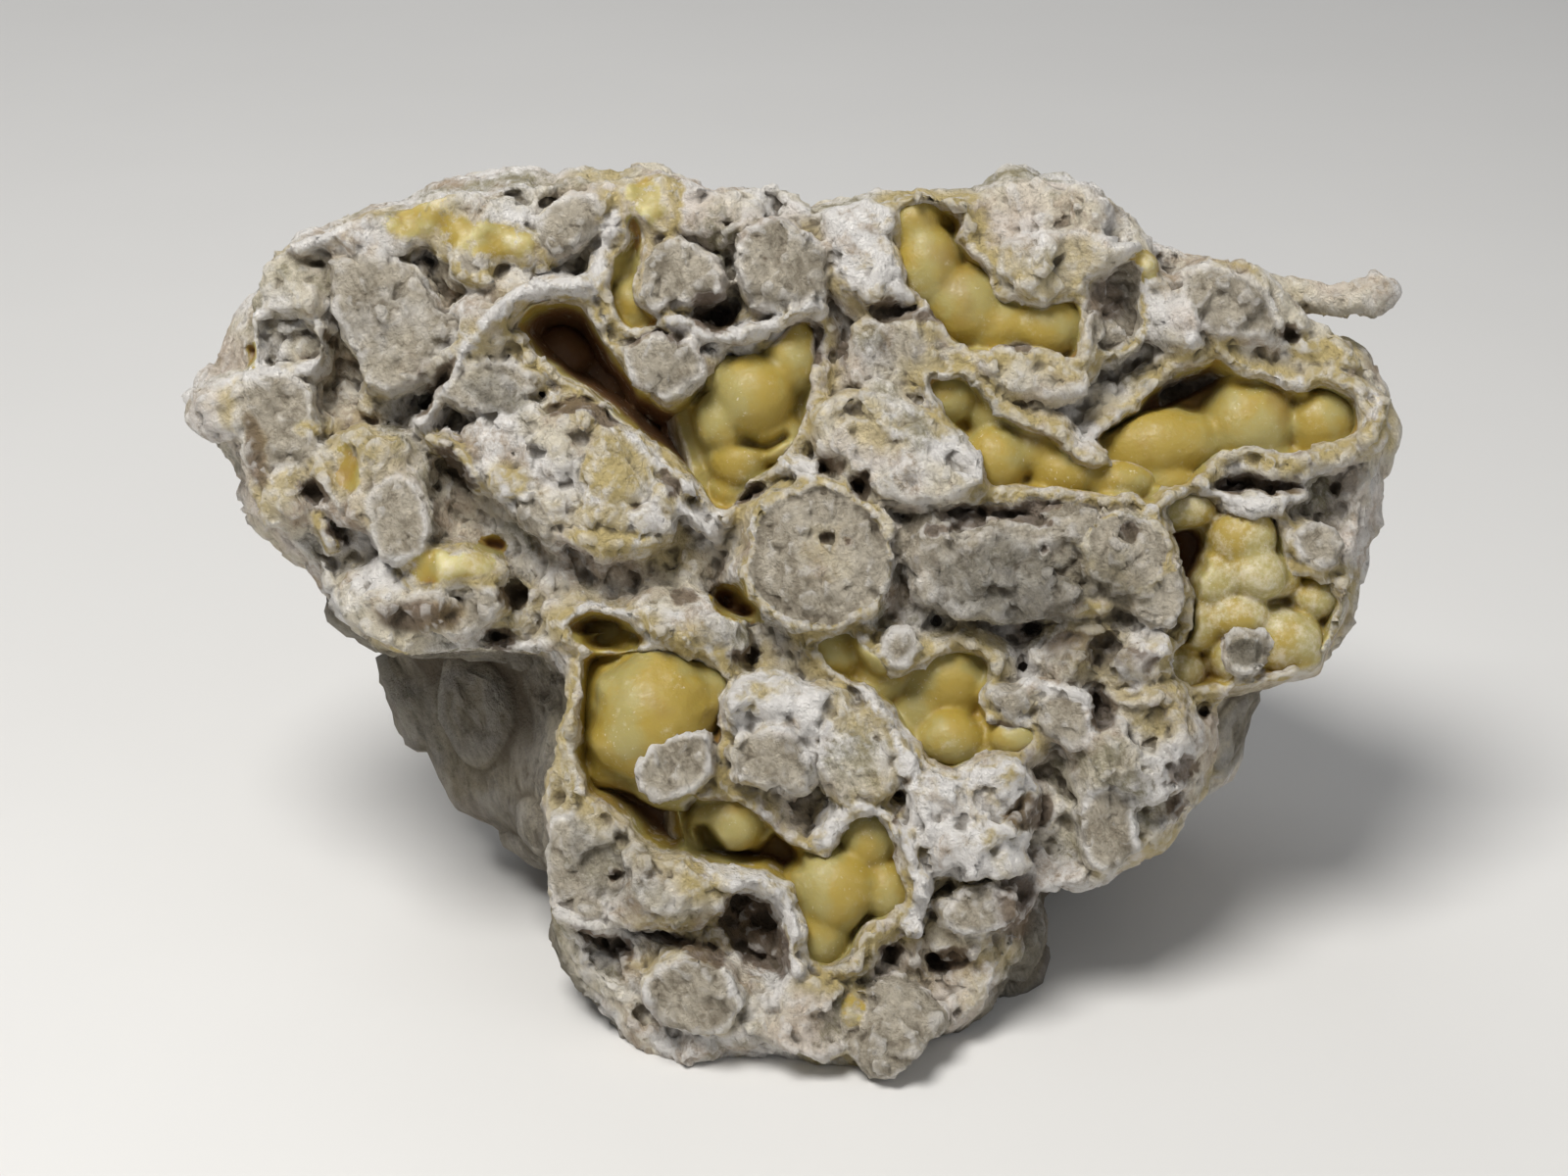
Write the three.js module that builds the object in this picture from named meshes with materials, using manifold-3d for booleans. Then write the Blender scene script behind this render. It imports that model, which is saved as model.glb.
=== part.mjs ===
// Aragonite cluster: a hand-sized mass of chalky, broken concretions whose hollows are lined with
// knobbly, honey-coloured aragonite. The rock and all that grew fused to it is one solid. The lining
// of each hollow is a crust of its own.
//
// The shapes are set out on the broken face, in mm from its middle: u runs to the right, v up the
// face and w straight out of it. The face leans back. The mass stands on its underside, from the
// tip of the face to the rear, which the ground cuts off level.

import * as THREE from 'three';
import { mergeVertices } from 'three/addons/utils/BufferGeometryUtils.js';
import { ImprovedNoise } from 'three/addons/math/ImprovedNoise.js';
import Module from 'manifold-3d';

// Driving dimensions, in mm
const LEAN = THREE.MathUtils.degToRad(25); // how far the face leans back
const FACE_HEIGHT = 37.8; // middle of the face above the ground
const SHIFT = { x: -0.65, y: -16.37 }; // puts the origin under the middle of the whole
const GAP = 0.3; // between a crust and the rock behind it
const CENTRE = { u: 2, v: -2 }; // middle that the rings of the body run round
const SIDE = { from: 4, to: 25 }; // depths between which the outline of the face becomes the rear's
const DISH = 460; // the face falls back by u squared over this
const FLOOR = 2.0; // depth of the face between its lumps
const LEVEL = 8; // power by which the face stays level up to its edge

// Edge of the broken face, anticlockwise from the left tip: u, v
const FACE_EDGE = [
  [-50.8, 15.8], [-48.8, 13.2], [-46.7, 10.0], [-45.0, 5.8], [-40.0, 2.1], [-37.5, -2.7],
  [-32.5, -5.6], [-25.0, -5.0], [-19.2, -5.4], [-17.9, -9.5], [-20.0, -16.5], [-20.4, -25.0],
  [-19.0, -29.5], [-15.0, -34.2], [-11.7, -39.0], [-8.3, -40.3], [-4.8, -38.8], [0.0, -38.6],
  [3.2, -40.2], [8.8, -41.8], [12.5, -38.3], [16.7, -35.6], [19.6, -30.5], [21.5, -25.5],
  [26.5, -24.6], [31.7, -21.7], [35.2, -17.0], [36.9, -11.8], [38.8, -8.4], [43.3, -7.6],
  [46.5, -5.6], [48.0, -1.5], [49.4, 4.5], [49.8, 8.2], [51.7, 12.0], [51.6, 16.8],
  [49.8, 20.2], [45.0, 23.5], [40.5, 27.4], [36.5, 28.3], [31.7, 29.8], [27.5, 32.6],
  [23.5, 34.4], [18.3, 34.6], [15.8, 32.4], [11.7, 33.3], [5.8, 32.6], [2.3, 31.7],
  [-1.0, 34.0], [-6.0, 33.7], [-10.4, 35.0], [-14.0, 34.4], [-18.0, 34.4], [-23.8, 34.4],
  [-30.0, 33.0], [-35.5, 31.6], [-40.8, 29.8], [-44.6, 27.6], [-46.4, 22.5], [-47.3, 18.2],
];

// Outline of the rear of the body under its lumps, the same way round
const REAR_EDGE = [
  [-38.0, 8.0], [-36.5, 0.0], [-36.0, -7.0], [-33.5, -13.0], [-29.0, -20.0], [-21.5, -22.5],
  [-14.5, -28.5], [-7.0, -36.0], [4.0, -36.5], [14.5, -33.5], [24.5, -26.5], [33.0, -21.0],
  [38.5, -16.0], [39.0, -8.0], [44.0, 4.0], [44.0, 15.0], [36.5, 22.0], [24.0, 25.5], [0.0, 25.5],
  [-24.0, 23.0], [-36.0, 21.0], [-40.0, 16.0],
];

// Section of the body from the edge of the face round to the middle of the back:
// share of the outline's width, depth behind the face
const FLANK = [
  [1, 1.6], [1.015, 5], [1, 12], [1, 20], [0.97, 29], [0.86, 38], [0.62, 45], [0.32, 48.5], [0, 49.5],
];

// How finely the body is faceted, the part of its ball that becomes the face, as an angle from the
// front, and the share of the rest over which the rear's lumps begin
const BODY = { detail: 10, face: THREE.MathUtils.degToRad(102), blend: 0.25 };

// Fused lumps of chalky rock: u, v, w, half sizes along u, v and w, turn in degrees
const LUMPS = {
  leftTip: [-46.2, 15.4, -5.6, 5.6, 3.2, 4.0, -6],
  leftMass: [-42.6, 9.8, -4.0, 4.0, 5.0, 4.0, 20],
  leftShoulder: [-42.0, 26.0, -5.5, 4.4, 4.2, 5.0, 0],
  topLeftLedge: [-35.0, 30.3, -4.0, 6.5, 2.8, 4.5, 12],
  topLens: [-26.5, 31.2, -3.5, 6.5, 3.0, 4.4, -8],
  topKnob: [-15.2, 33.6, -2.5, 2.0, 2.4, 3.0, 0],
  topMiddle: [-5.5, 32.0, -2.6, 5.0, 3.0, 4.5, 0],
  fibrousWall: [6.3, 28.2, -1.2, 3.6, 5.2, 4.2, 8],
  topRight: [23.0, 30.0, -2.8, 8.8, 5.0, 5.0, -8],
  rightRidge: [32.6, 23.8, -2.6, 2.6, 4.0, 4.0, 30],
  rightShoulder: [38.4, 24.4, -4.0, 5.4, 4.8, 5.0, 0],
  creamSlope: [44.8, 20.8, -4.6, 4.6, 3.4, 4.0, -20],
  rightLip: [44.0, 10.9, -3.6, 6.0, 1.9, 3.4, 12],
  centreLeftMass: [-18.6, 9.6, -0.6, 9.4, 5.4, 4.0, -28],
  lowLeftMass: [-33.8, -1.8, -3.6, 5.6, 4.4, 4.6, 20],
  leftMiddle: [-35.5, 9.5, -2.2, 5.4, 4.6, 4.2, 0],
  archBand: [-25.6, 22.0, -1.4, 3.4, 6.4, 3.8, -42],
  tongue: [10.0, 11.4, 0.6, 8.4, 4.6, 4.2, -22],
  roughPatch: [10.0, 20.0, -1.2, 5.2, 4.2, 4.0, 0],
  fragment: [22.0, 18.3, -1.4, 4.4, 2.8, 3.6, 10],
  log: [21.6, 2.6, -0.8, 12.4, 5.0, 5.0, -6],
  belowLog: [26.5, -5.4, -1.6, 6.2, 3.2, 4.0, 0],
  lowerRight: [30.0, -13.2, -2.4, 6.4, 5.6, 5.0, 30],
  whitePatch: [16.0, -19.2, -0.8, 6.2, 5.4, 4.8, 30],
  web: [-8.4, -3.6, -0.8, 5.6, 3.6, 3.4, -20],
  capRow: [0.0, -11.0, -0.4, 6.0, 3.6, 4.0, -15],
  pinkPatch: [6.4, -14.0, -0.6, 4.0, 5.0, 4.2, 0],
  plate: [-17.2, -24.4, -2.6, 4.0, 6.6, 4.4, 8],
  flakes: [-10.4, -25.2, -1.0, 6.4, 4.2, 4.4, 0],
  lowKnob: [-3.0, -36.0, -2.0, 3.4, 3.4, 4.0, 0],
  lowPink: [2.2, -36.4, -1.4, 4.0, 4.2, 4.6, 0],
  bottomTip: [9.4, -37.6, -1.2, 4.6, 4.4, 5.0, 0],
  rearLobe: [19.6, -30.6, -14.0, 4.6, 5.8, 6.0, 0],
};

// Broken concretion cores with flat grey faces, in the same form
const CORES = {
  tip: [-43.6, 15.4, -2.4, 3.6, 3.4, 3.2, 0],
  bigFibrous: [-33.4, 22.6, -1.8, 6.0, 6.2, 4.0, 10],
  upper: [-17.6, 32.0, -1.8, 3.0, 2.8, 3.2, 0],
  channelRight: [-0.4, 27.4, 1.0, 4.4, 4.3, 4.6, 0],
  archFoot: [-24.2, 17.2, -0.2, 5.0, 2.8, 3.6, -25],
  left: [-33.3, 5.8, -0.4, 4.0, 3.8, 3.8, 0],
  underCap: [-28.2, -2.0, -1.0, 4.4, 2.8, 3.8, -5],
  ringedDisc: [2.9, 2.5, 0.0, 6.6, 6.2, 4.4, 0],
  pocketDisc: [27.9, 22.8, -3.2, 2.5, 2.5, 3.6, 0],
  shoulder: [38.6, 24.2, -2.2, 4.2, 4.0, 4.6, 0],
  logEnd: [29.0, 3.2, 0.6, 4.6, 3.8, 4.2, -10],
  low: [-7.9, -34.0, -1.2, 4.8, 4.6, 4.6, 0],
  lowRight: [16.2, -26.6, -2.6, 4.2, 3.0, 4.4, 15],
  plateRight: [27.8, -20.0, -3.2, 3.4, 4.2, 4.4, -10],
};

// Cores that stand in the hollows, in the same form
const STANDING_CORES = {
  channelLeft: [-8.9, 26.9, 0.0, 4.0, 3.4, 4.2, 0],
  overCave: [-10.0, 19.0, 0.4, 4.0, 3.6, 4.4, 0],
  edge: [45.8, 3.5, -4.2, 2.8, 2.8, 4.4, 0],
  bulbTip: [-9.7, -15.0, -1.0, 3.6, 3.5, 6.4, 0],
  flaky: [-1.4, -15.2, 0.0, 4.4, 3.7, 4.6, 0],
  yellowTip: [8.9, -4.4, -1.2, 2.8, 2.6, 5.2, 0],
};

// Lumps that stand out past the edge
const PROUD_LUMPS = ['leftTip', 'rearLobe'];

// Thin fused walls: thickness, height, then the points of the crest
const WALLS = {
  caveArch: [0.8, 2.6, [-28.6, 14.2, 0.4], [-28.0, 17.8, 0.8], [-24.8, 21.8, 1.0], [-22.0, 24.4, 0.9],
    [-18.8, 25.6, 0.7], [-16.0, 24.8, 0.5]],
  creamRidge: [0.8, 2.0, [-9.0, 22.8, 1.2], [-6.6, 21.0, 1.8], [-2.6, 20.6, 2.2], [2.6, 23.4, 1.8]],
  crescent: [1.1, 3.0, [-6.4, -24.0, 0.6], [-3.2, -24.2, 1.6], [-0.6, -26.2, 2.0], [1.2, -29.4, 1.6],
    [1.2, -32.4, 0.6]],
  whiteWall: [1.0, 2.6, [3.2, -20.6, 1.2], [6.6, -18.4, 1.8], [9.8, -21.0, 1.8], [12.0, -26.4, 1.2],
    [10.6, -28.6, 0.6]],
  leftArch: [0.8, 2.6, [-18.6, -3.4, 0.0], [-16.4, -2.2, 0.8], [-13.2, -2.6, 1.2], [-11.0, -5.0, 1.4]],
  horn: [1.8, 1.8, [39.6, 26.4, -7.0], [43.6, 25.8, -7.2], [47.4, 25.2, -7.0], [51.4, 25.6, -6.6]],
  outerShell: [0.8, 2.6, [46.0, 19.4, -2.8], [49.4, 17.6, -3.4], [50.4, 14.6, -4.0], [50.2, 11.4, -4.0]],
};

// Hollows that open on the face, in the same form as the lumps
const HOLLOWS = {
  caveMouth: [-18.6, 21.3, -4.0, 3.6, 2.3, 8.0, -30],
  caveMiddle: [-13.8, 18.0, -6.5, 4.6, 3.1, 11.0, -40],
  caveEnd: [-9.4, 14.3, -5.5, 4.0, 2.9, 9.5, -30],
  cluster: [-2.8, 15.4, -1.6, 5.4, 6.2, 5.4, 10],
  topMiddle: [14.4, 26.6, -1.6, 4.6, 5.4, 5.2, -30],
  topFoot: [21.2, 22.8, -1.6, 4.8, 3.2, 4.8, 0],
  rightNear: [33.8, 14.4, -4.4, 5.4, 3.6, 6.0, 26],
  rightFar: [42.8, 15.8, -5.4, 7.2, 3.6, 7.0, -4],
  middleLeft: [17.4, 13.8, -1.4, 4.8, 4.4, 5.0, 0],
  middleRight: [24.6, 10.2, -2.0, 6.0, 2.6, 4.8, -8],
  cornerTop: [40.2, 4.0, -4.0, 4.4, 3.8, 6.4, 0],
  cornerFoot: [42.4, -3.6, -5.0, 7.4, 6.0, 7.4, 0],
  leftBulbs: [-11.6, -12.6, -3.2, 6.2, 9.2, 7.8, 4],
  centre: [9.6, -7.6, -1.2, 8.2, 3.9, 5.0, -22],
  centreFoot: [16.8, -11.8, -1.4, 5.2, 2.6, 4.4, -8],
  lowerLeft: [-3.2, -21.2, -2.8, 5.6, 3.8, 7.0, -12],
  lowerRight: [4.6, -24.4, -2.4, 4.6, 6.0, 6.4, 10],
};

// Smaller pits and gaps, in the same form
const PITS = {
  channel: [-13.4, 27.8, -1.8, 2.4, 6.4, 5.4, -4],
  greyPocket: [27.8, 25.0, -1.4, 2.6, 4.8, 4.2, 0],
  lens: [40.2, 9.1, -4.0, 4.8, 1.1, 4.8, -4],
  blackGap: [34.9, 1.4, -3.6, 1.8, 6.4, 8.2, 0],
  leftArchway: [-14.6, -4.9, -3.2, 4.3, 2.8, 8.2, -10],
  underCrescent: [-2.4, -30.0, -2.2, 3.8, 3.8, 7.0, 30],
  triangle: [-4.2, -1.2, -2.6, 2.7, 2.5, 5.6, 30],
  squarePit: [-42.6, 21.6, -4.4, 2.7, 2.2, 4.8, 0],
  slot: [-31.4, 17.0, -1.2, 1.2, 3.2, 4.8, -35],
  lowPocket: [-16.4, -30.8, -3.4, 3.2, 2.7, 5.0, 0],
  crevice: [-9.0, -29.6, -1.2, 5.4, 1.4, 4.8, -6],
};

// Honey crusts: the hollows that each one lines and its knobs, as u, v, w and radius
const CRUSTS = {
  channel_crust: { lines: ['channel'], knobs: [
    [-13.6, 31.6, -5.0, 2.4], [-13.6, 28.6, -5.6, 2.6], [-13.4, 25.4, -5.4, 2.6]] },
  cave_crust: { lines: ['caveMouth', 'caveMiddle', 'caveEnd'], knobs: [
    [-19.6, 20.4, -10.6, 3.4], [-16.4, 18.2, -13.4, 4.4], [-12.6, 16.4, -14.4, 4.6],
    [-9.2, 13.6, -12.6, 3.8]] },
  cluster_crust: { lines: ['cluster'], knobs: [
    [-3.0, 17.0, -2.6, 3.3], [0.2, 18.8, -3.4, 2.6], [-4.4, 13.6, -3.4, 2.9], [-3.8, 10.6, -4.2, 2.6],
    [-0.6, 13.4, -4.4, 2.9], [-6.4, 16.4, -4.6, 2.4]] },
  top_crust: { lines: ['topMiddle', 'topFoot'], knobs: [
    [11.6, 31.6, -4.2, 2.8], [12.6, 28.2, -4.2, 3.4], [15.6, 25.4, -3.8, 3.9], [19.2, 23.2, -3.8, 3.4],
    [23.2, 22.6, -4.0, 3.2]] },
  right_crust: { lines: ['rightNear', 'rightFar'], knobs: [
    [30.6, 11.9, -7.6, 3.2], [33.6, 12.6, -7.2, 3.8], [37.6, 14.0, -8.6, 4.2], [41.4, 15.6, -8.8, 3.8],
    [45.4, 15.0, -7.6, 3.6], [36.6, 17.0, -10.4, 3.4]] },
  corner_crust: { lines: ['cornerTop', 'cornerFoot'], knobs: [
    [40.6, 4.0, -5.0, 3.4], [37.6, 1.0, -5.4, 2.7], [41.4, 0.6, -4.6, 3.1], [37.4, -3.6, -5.4, 3.0],
    [43.4, -4.4, -5.0, 3.5], [40.4, -4.4, -7.0, 3.2], [46.6, -1.2, -6.4, 2.5]] },
  middle_crust: { lines: ['middleLeft', 'middleRight'], knobs: [
    [14.6, 15.6, -4.4, 2.9], [17.6, 11.4, -2.6, 2.8], [20.8, 13.0, -4.6, 3.4], [24.4, 10.6, -4.6, 3.2],
    [28.4, 9.8, -4.6, 3.0]] },
  centre_crust: { lines: ['centre', 'centreFoot'], knobs: [
    [4.4, -5.4, -4.4, 3.2], [8.6, -4.8, -3.0, 3.4], [10.0, -9.0, -4.6, 3.6], [14.0, -9.4, -4.2, 3.5],
    [18.4, -12.2, -4.0, 3.0]] },
  lower_left_crust: { lines: ['leftArchway', 'leftBulbs'], knobs: [
    [-14.8, -5.6, -8.4, 3.2], [-11.8, -9.6, -3.4, 5.2], [-13.4, -13.4, -5.0, 4.6],
    [-9.8, -15.0, -4.4, 4.4], [-13.6, -19.0, -7.4, 4.0]] },
  lower_crust: { lines: ['lowerLeft', 'lowerRight'], knobs: [
    [-5.4, -20.6, -3.6, 3.5], [-1.4, -22.6, -5.4, 3.8], [3.8, -24.8, -3.0, 3.7], [6.6, -22.4, -3.6, 3.0],
    [4.6, -28.6, -4.0, 3.0]] },
};

// Lumps all over the rear and the sides: their half sizes as angles seen from the middle, in
// radians, how tall one of 1 radian would be, and how far they stray from even spacing
const REAR_LUMPS = { count: 30, smallest: 0.24, largest: 0.46, height: 13, stray: 0.6, seed: 7 };

const UNEVEN = [[1.8, 11], [1.2, 5], [0.8, 2.2]]; // height and size of the rock's unevenness
const SWELL = 1.7; // how closely a ball's swellings follow each other
const CORE_LOOK = { flat: 0.62, rough: 0.12 }; // where a core's face is broken off, in half sizes
const HOLLOW_ROUGH = 0.1; // unevenness of a hollow, as a share of its size
const WALL_SIDES = 5;
const SHALLOW = 0.55; // how deep a lining's floor lies, as a share of the hollow's depth

// Under a lining's knobs: the width of their facets, the half width of the block they stand on as a
// share of the hollow's half size, and how deep it goes
const KNOB = { step: 2.3, margin: 1.2, depth: 24 };

const UNDERSIDE = { at: [2.5, 2, 0], size: [12, 11, 2.6] }; // shallow hollow under the middle
const GROUND = { across: 200, deep: 60 }; // wider and deeper than the mass
const WELD = 1e-4; // points closer than this are one

const ROCK = { color: 0xcbbba4, roughness: 0.95, metalness: 0 };
const HONEY = { color: 0xb89a55, roughness: 0.45, metalness: 0 };

const wasm = await Module();
wasm.setup();

const noise = new ImprovedNoise();
const REAR_MIDDLES = rearMiddles();
const toGround = new THREE.Matrix4()
  .makeRotationX(Math.PI / 2 - LEAN)
  .setPosition(SHIFT.x, SHIFT.y, FACE_HEIGHT);

// A closed geometry in the frame of the face as a solid that stands on the ground
function solidOf(geometry) {
  geometry.applyMatrix4(toGround);
  return groundSolid(geometry);
}

// A closed geometry as a solid, without the empty triangles at its poles
function groundSolid(geometry) {
  geometry.deleteAttribute('normal');
  geometry.deleteAttribute('uv');
  const merged = mergeVertices(geometry, WELD);
  const corners = [];
  for (let i = 0; i < merged.index.count; i += 3) {
    const [a, b, c] = [0, 1, 2].map((k) => merged.index.getX(i + k));
    if (a !== b && b !== c && c !== a) corners.push(a, b, c);
  }
  return new wasm.Manifold(new wasm.Mesh({
    numProp: 3,
    vertProperties: new Float32Array(merged.attributes.position.array),
    triVerts: new Uint32Array(corners),
  }));
}

// Moves every point of a geometry by a function of where it is
function reshape(geometry, move) {
  const point = new THREE.Vector3();
  const position = geometry.attributes.position;
  for (let i = 0; i < position.count; i++) {
    move(point.fromBufferAttribute(position, i));
    position.setXYZ(i, point.x, point.y, point.z);
  }
  return geometry;
}

// An uneven ball. Its own place seeds its unevenness, and grow moves its surface in or out.
// flat cuts its front off level.
function lump([u, v, w, a, b, c, turn], { grow = 0, detail = 1, rough = 0.16, flat = 2 } = {}) {
  const ball = reshape(new THREE.IcosahedronGeometry(1, detail), (p) => {
    const swell = 1 + rough * 2 * noise.noise(p.x * SWELL + u, p.y * SWELL + v, p.z * SWELL + w);
    p.multiplyScalar(swell);
    p.z = Math.min(p.z, flat);
  });
  ball.scale(a + grow, b + grow, c + grow);
  ball.rotateZ(THREE.MathUtils.degToRad(turn));
  ball.translate(u, v, w);
  return solidOf(ball);
}

// A wall of even thickness along a crest that bends
function wall([thickness, height, ...crest]) {
  const section = new THREE.Shape();
  for (let i = 0; i < WALL_SIDES; i++) {
    const angle = (i / WALL_SIDES) * 2 * Math.PI;
    section[i ? 'lineTo' : 'moveTo'](height * Math.sin(angle), thickness * Math.cos(angle));
  }
  const path = new THREE.CatmullRomCurve3(crest.map((point) => new THREE.Vector3(...point)));
  return solidOf(new THREE.ExtrudeGeometry(section, {
    extrudePath: path, steps: crest.length + 1, bevelEnabled: false,
  }));
}

// How far a closed outline reaches from the centre in a direction
function edgeReach(edge, angle) {
  const direction = { u: Math.cos(angle), v: Math.sin(angle) };
  let reach = 0;
  edge.forEach(([u0, v0], i) => {
    const [u1, v1] = edge[(i + 1) % edge.length];
    const [du, dv] = [u1 - u0, v1 - v0];
    const [su, sv] = [u0 - CENTRE.u, v0 - CENTRE.v];
    const across = direction.u * dv - direction.v * du;
    const along = (su * direction.v - sv * direction.u) / across;
    const out = (su * dv - sv * du) / across;
    if (along >= 0 && along <= 1 && out > reach) reach = out;
  });
  return reach;
}

// Height of the fused lumps and cores over a place on the face, or the face itself
function relief(u, v, face) {
  let height = face;
  for (const [list, flat] of [[LUMPS, 1], [CORES, CORE_LOOK.flat]]) {
    for (const [lu, lv, lw, a, b, c, turn] of Object.values(list)) {
      const angle = THREE.MathUtils.degToRad(turn);
      const [du, dv] = [u - lu, v - lv];
      const x = (du * Math.cos(angle) + dv * Math.sin(angle)) / a;
      const y = (dv * Math.cos(angle) - du * Math.sin(angle)) / b;
      const inside = 1 - x * x - y * y;
      if (inside > 0) height = Math.max(height, lw + c * Math.min(Math.sqrt(inside), flat));
    }
  }
  return height;
}

// Rise and fall of broken rock at a place in the body
function unevenness(u, v, depth) {
  return UNEVEN.reduce((sum, [height, size]) => sum
    + height * noise.noise(u / size, v / size, depth / size), 0);
}

// Middles of the lumps, spread evenly all round, with their sizes
function rearMiddles() {
  const random = seeded(REAR_LUMPS.seed);
  return Array.from({ length: REAR_LUMPS.count }, (_, i) => {
    const height = 1 - 2 * (i + 0.5) / REAR_LUMPS.count;
    const ring = Math.sqrt(1 - height * height);
    const turn = i * Math.PI * (3 - Math.sqrt(5)) + REAR_LUMPS.stray * random();
    const size = THREE.MathUtils.lerp(REAR_LUMPS.smallest, REAR_LUMPS.largest, random());
    return [new THREE.Vector3(ring * Math.cos(turn), ring * Math.sin(turn), height), size];
  });
}

// Height of the lumps over a place on the rear, as the nearest of evenly spread middles rises
function rearRelief(direction) {
  let height = 0;
  REAR_MIDDLES.forEach(([middle, size]) => {
    const away = direction.angleTo(middle) / size;
    if (away < 1) height = Math.max(height, size * REAR_LUMPS.height * Math.sqrt(1 - away * away));
  });
  return height;
}

// How far the body reaches from its middle in a direction, at a share of the way to the rear
function bodyReach(angle, rear) {
  return THREE.MathUtils.lerp(edgeReach(FACE_EDGE, angle), edgeReach(REAR_EDGE, angle), rear);
}

// The body: a ball whose front is spread over the face and whose sides run back to a rounded rear
function body() {
  const flank = new THREE.SplineCurve(FLANK.map(([share, depth]) => new THREE.Vector2(share, depth)));
  const ball = new THREE.IcosahedronGeometry(1, BODY.detail);
  return solidOf(reshape(ball, (p) => {
    const direction = p.clone().normalize();
    const angle = Math.atan2(p.y, p.x);
    const polar = Math.acos(THREE.MathUtils.clamp(p.z, -1, 1));
    const onFace = polar < BODY.face;
    const spread = Math.sqrt((1 - Math.cos(polar)) / (1 - Math.cos(BODY.face)));
    const round = (polar - BODY.face) / (Math.PI - BODY.face);
    const edge = spread ** LEVEL;
    const at = onFace ? new THREE.Vector2(spread, FLANK[0][1] * edge) : flank.getPoint(round);
    const rear = THREE.MathUtils.smoothstep(at.y, SIDE.from, SIDE.to);
    const reach = at.x * bodyReach(angle, rear);
    const [u, v] = [CENTRE.u + reach * Math.cos(angle), CENTRE.v + reach * Math.sin(angle)];
    const fall = (u * u) / DISH * (1 - rear) + (onFace ? FLOOR * (1 - edge) : 0);
    const face = -at.y - fall;
    const rough = unevenness(u, v, at.y);
    p.set(u, v, onFace ? relief(u, v, face) + rough : face);
    if (onFace) return;
    const begun = Math.min(1, round / BODY.blend);
    p.addScaledVector(direction, rearRelief(direction) * begun + rough);
  }));
}

// Repeatable random numbers from 0 to 1
function seeded(seed) {
  let state = seed;
  return () => {
    state = (state * 16807) % 2147483647;
    return state / 2147483647;
  };
}

// The triangles of a solid
function geometryOf(solid) {
  const mesh = solid.getMesh();
  const geometry = new THREE.BufferGeometry();
  geometry.setAttribute('position', new THREE.BufferAttribute(mesh.vertProperties, 3));
  geometry.setIndex(new THREE.BufferAttribute(mesh.triVerts, 1));
  geometry.computeVertexNormals();
  return geometry;
}

const join = (solids) => solids.reduce((all, one) => all.add(one));

// Everything under the ground, and the shallow hollow under the middle
function ground() {
  const { across, deep } = GROUND;
  const block = new THREE.BoxGeometry(across, across, deep).translate(0, 0, -deep / 2);
  const hollow = new THREE.IcosahedronGeometry(1, 1).scale(...UNDERSIDE.size).translate(...UNDERSIDE.at);
  return groundSolid(block).add(groundSolid(hollow));
}

// The rock: a body with its lumps and walls, hollowed out, then the cores that stand in the hollows
function matrix() {
  const mass = join([body(), ...Object.values(WALLS).map((each) => wall(each)),
    ...PROUD_LUMPS.map((name) => lump(LUMPS[name]))]);
  const hollows = join([...Object.keys(HOLLOWS), ...Object.keys(PITS)].map((name) => hollow(name, 0)));
  return mass.subtract(hollows).add(standingCores(0)).subtract(ground());
}

const hollowSize = (name) => HOLLOWS[name] ?? PITS[name];

// The space of one hollow or pit
function hollow(name, grow) {
  return lump(hollowSize(name), { rough: HOLLOW_ROUGH, detail: HOLLOWS[name] ? 1 : 0, grow });
}

// The cores that stand in the hollows, which the lining goes round
function standingCores(grow) {
  return join(Object.values(STANDING_CORES).map((each) => lump(each, { ...CORE_LOOK, grow })));
}

// A block under some hollows whose top follows the knobs and, between them, a floor
function knobField(hollows, knobs) {
  const area = new THREE.Box2();
  hollows.forEach(([u, v, , a, b]) => area.union(new THREE.Box2().setFromCenterAndSize(
    new THREE.Vector2(u, v), new THREE.Vector2(2, 2).multiplyScalar(KNOB.margin * Math.max(a, b)))));
  const size = area.getSize(new THREE.Vector2());
  const middle = area.getCenter(new THREE.Vector2());
  const floor = Math.min(...hollows.map(([, , w, , , c]) => w - SHALLOW * c));
  const block = new THREE.BoxGeometry(size.x, size.y, 2 * KNOB.depth,
    Math.round(size.x / KNOB.step), Math.round(size.y / KNOB.step), 1);
  block.translate(middle.x, middle.y, 0);
  return solidOf(reshape(block, (p) => {
    if (p.z < 0) return;
    p.z = floor;
    knobs.forEach(([ku, kv, kw, r]) => {
      const inside = r * r - (p.x - ku) ** 2 - (p.y - kv) ** 2;
      if (inside > 0) p.z = Math.max(p.z, kw + Math.sqrt(inside));
    });
  }));
}

// The crust of some hollows that run together, clear of the rock and of the cores that stand in them
function crust({ lines, knobs }) {
  const room = join(lines.map((name) => hollow(name, -GAP)));
  return room.intersect(knobField(lines.map(hollowSize), knobs)).subtract(standingCores(GAP));
}

function part(name, solid, look) {
  const mesh = new THREE.Mesh(geometryOf(solid), new THREE.MeshStandardMaterial(look));
  mesh.name = name;
  return mesh;
}

const group = new THREE.Group();
group.add(part('matrix', matrix(), ROCK));
for (const [name, each] of Object.entries(CRUSTS)) group.add(part(name, crust(each), HONEY));

export default group;
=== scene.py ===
"""Aragonite cluster: a hand-sized mass of broken, chalky concretions with honey-coloured linings.

The rock is modelled on its broken face, in mm from the face's middle: u runs to the right, v up the
face and w straight out of it. The face leans back on the ground. Everything is turned to the ground
and to metres once its shape is done.
"""

import itertools
import logging
import math
from collections.abc import Iterator, Sequence
from dataclasses import dataclass, field
from enum import Enum

import bmesh
import bpy
import numpy as np
from bpy.types import Material, Mesh, Node, NodeSocket, Object
from mathutils import Matrix, Vector


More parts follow.
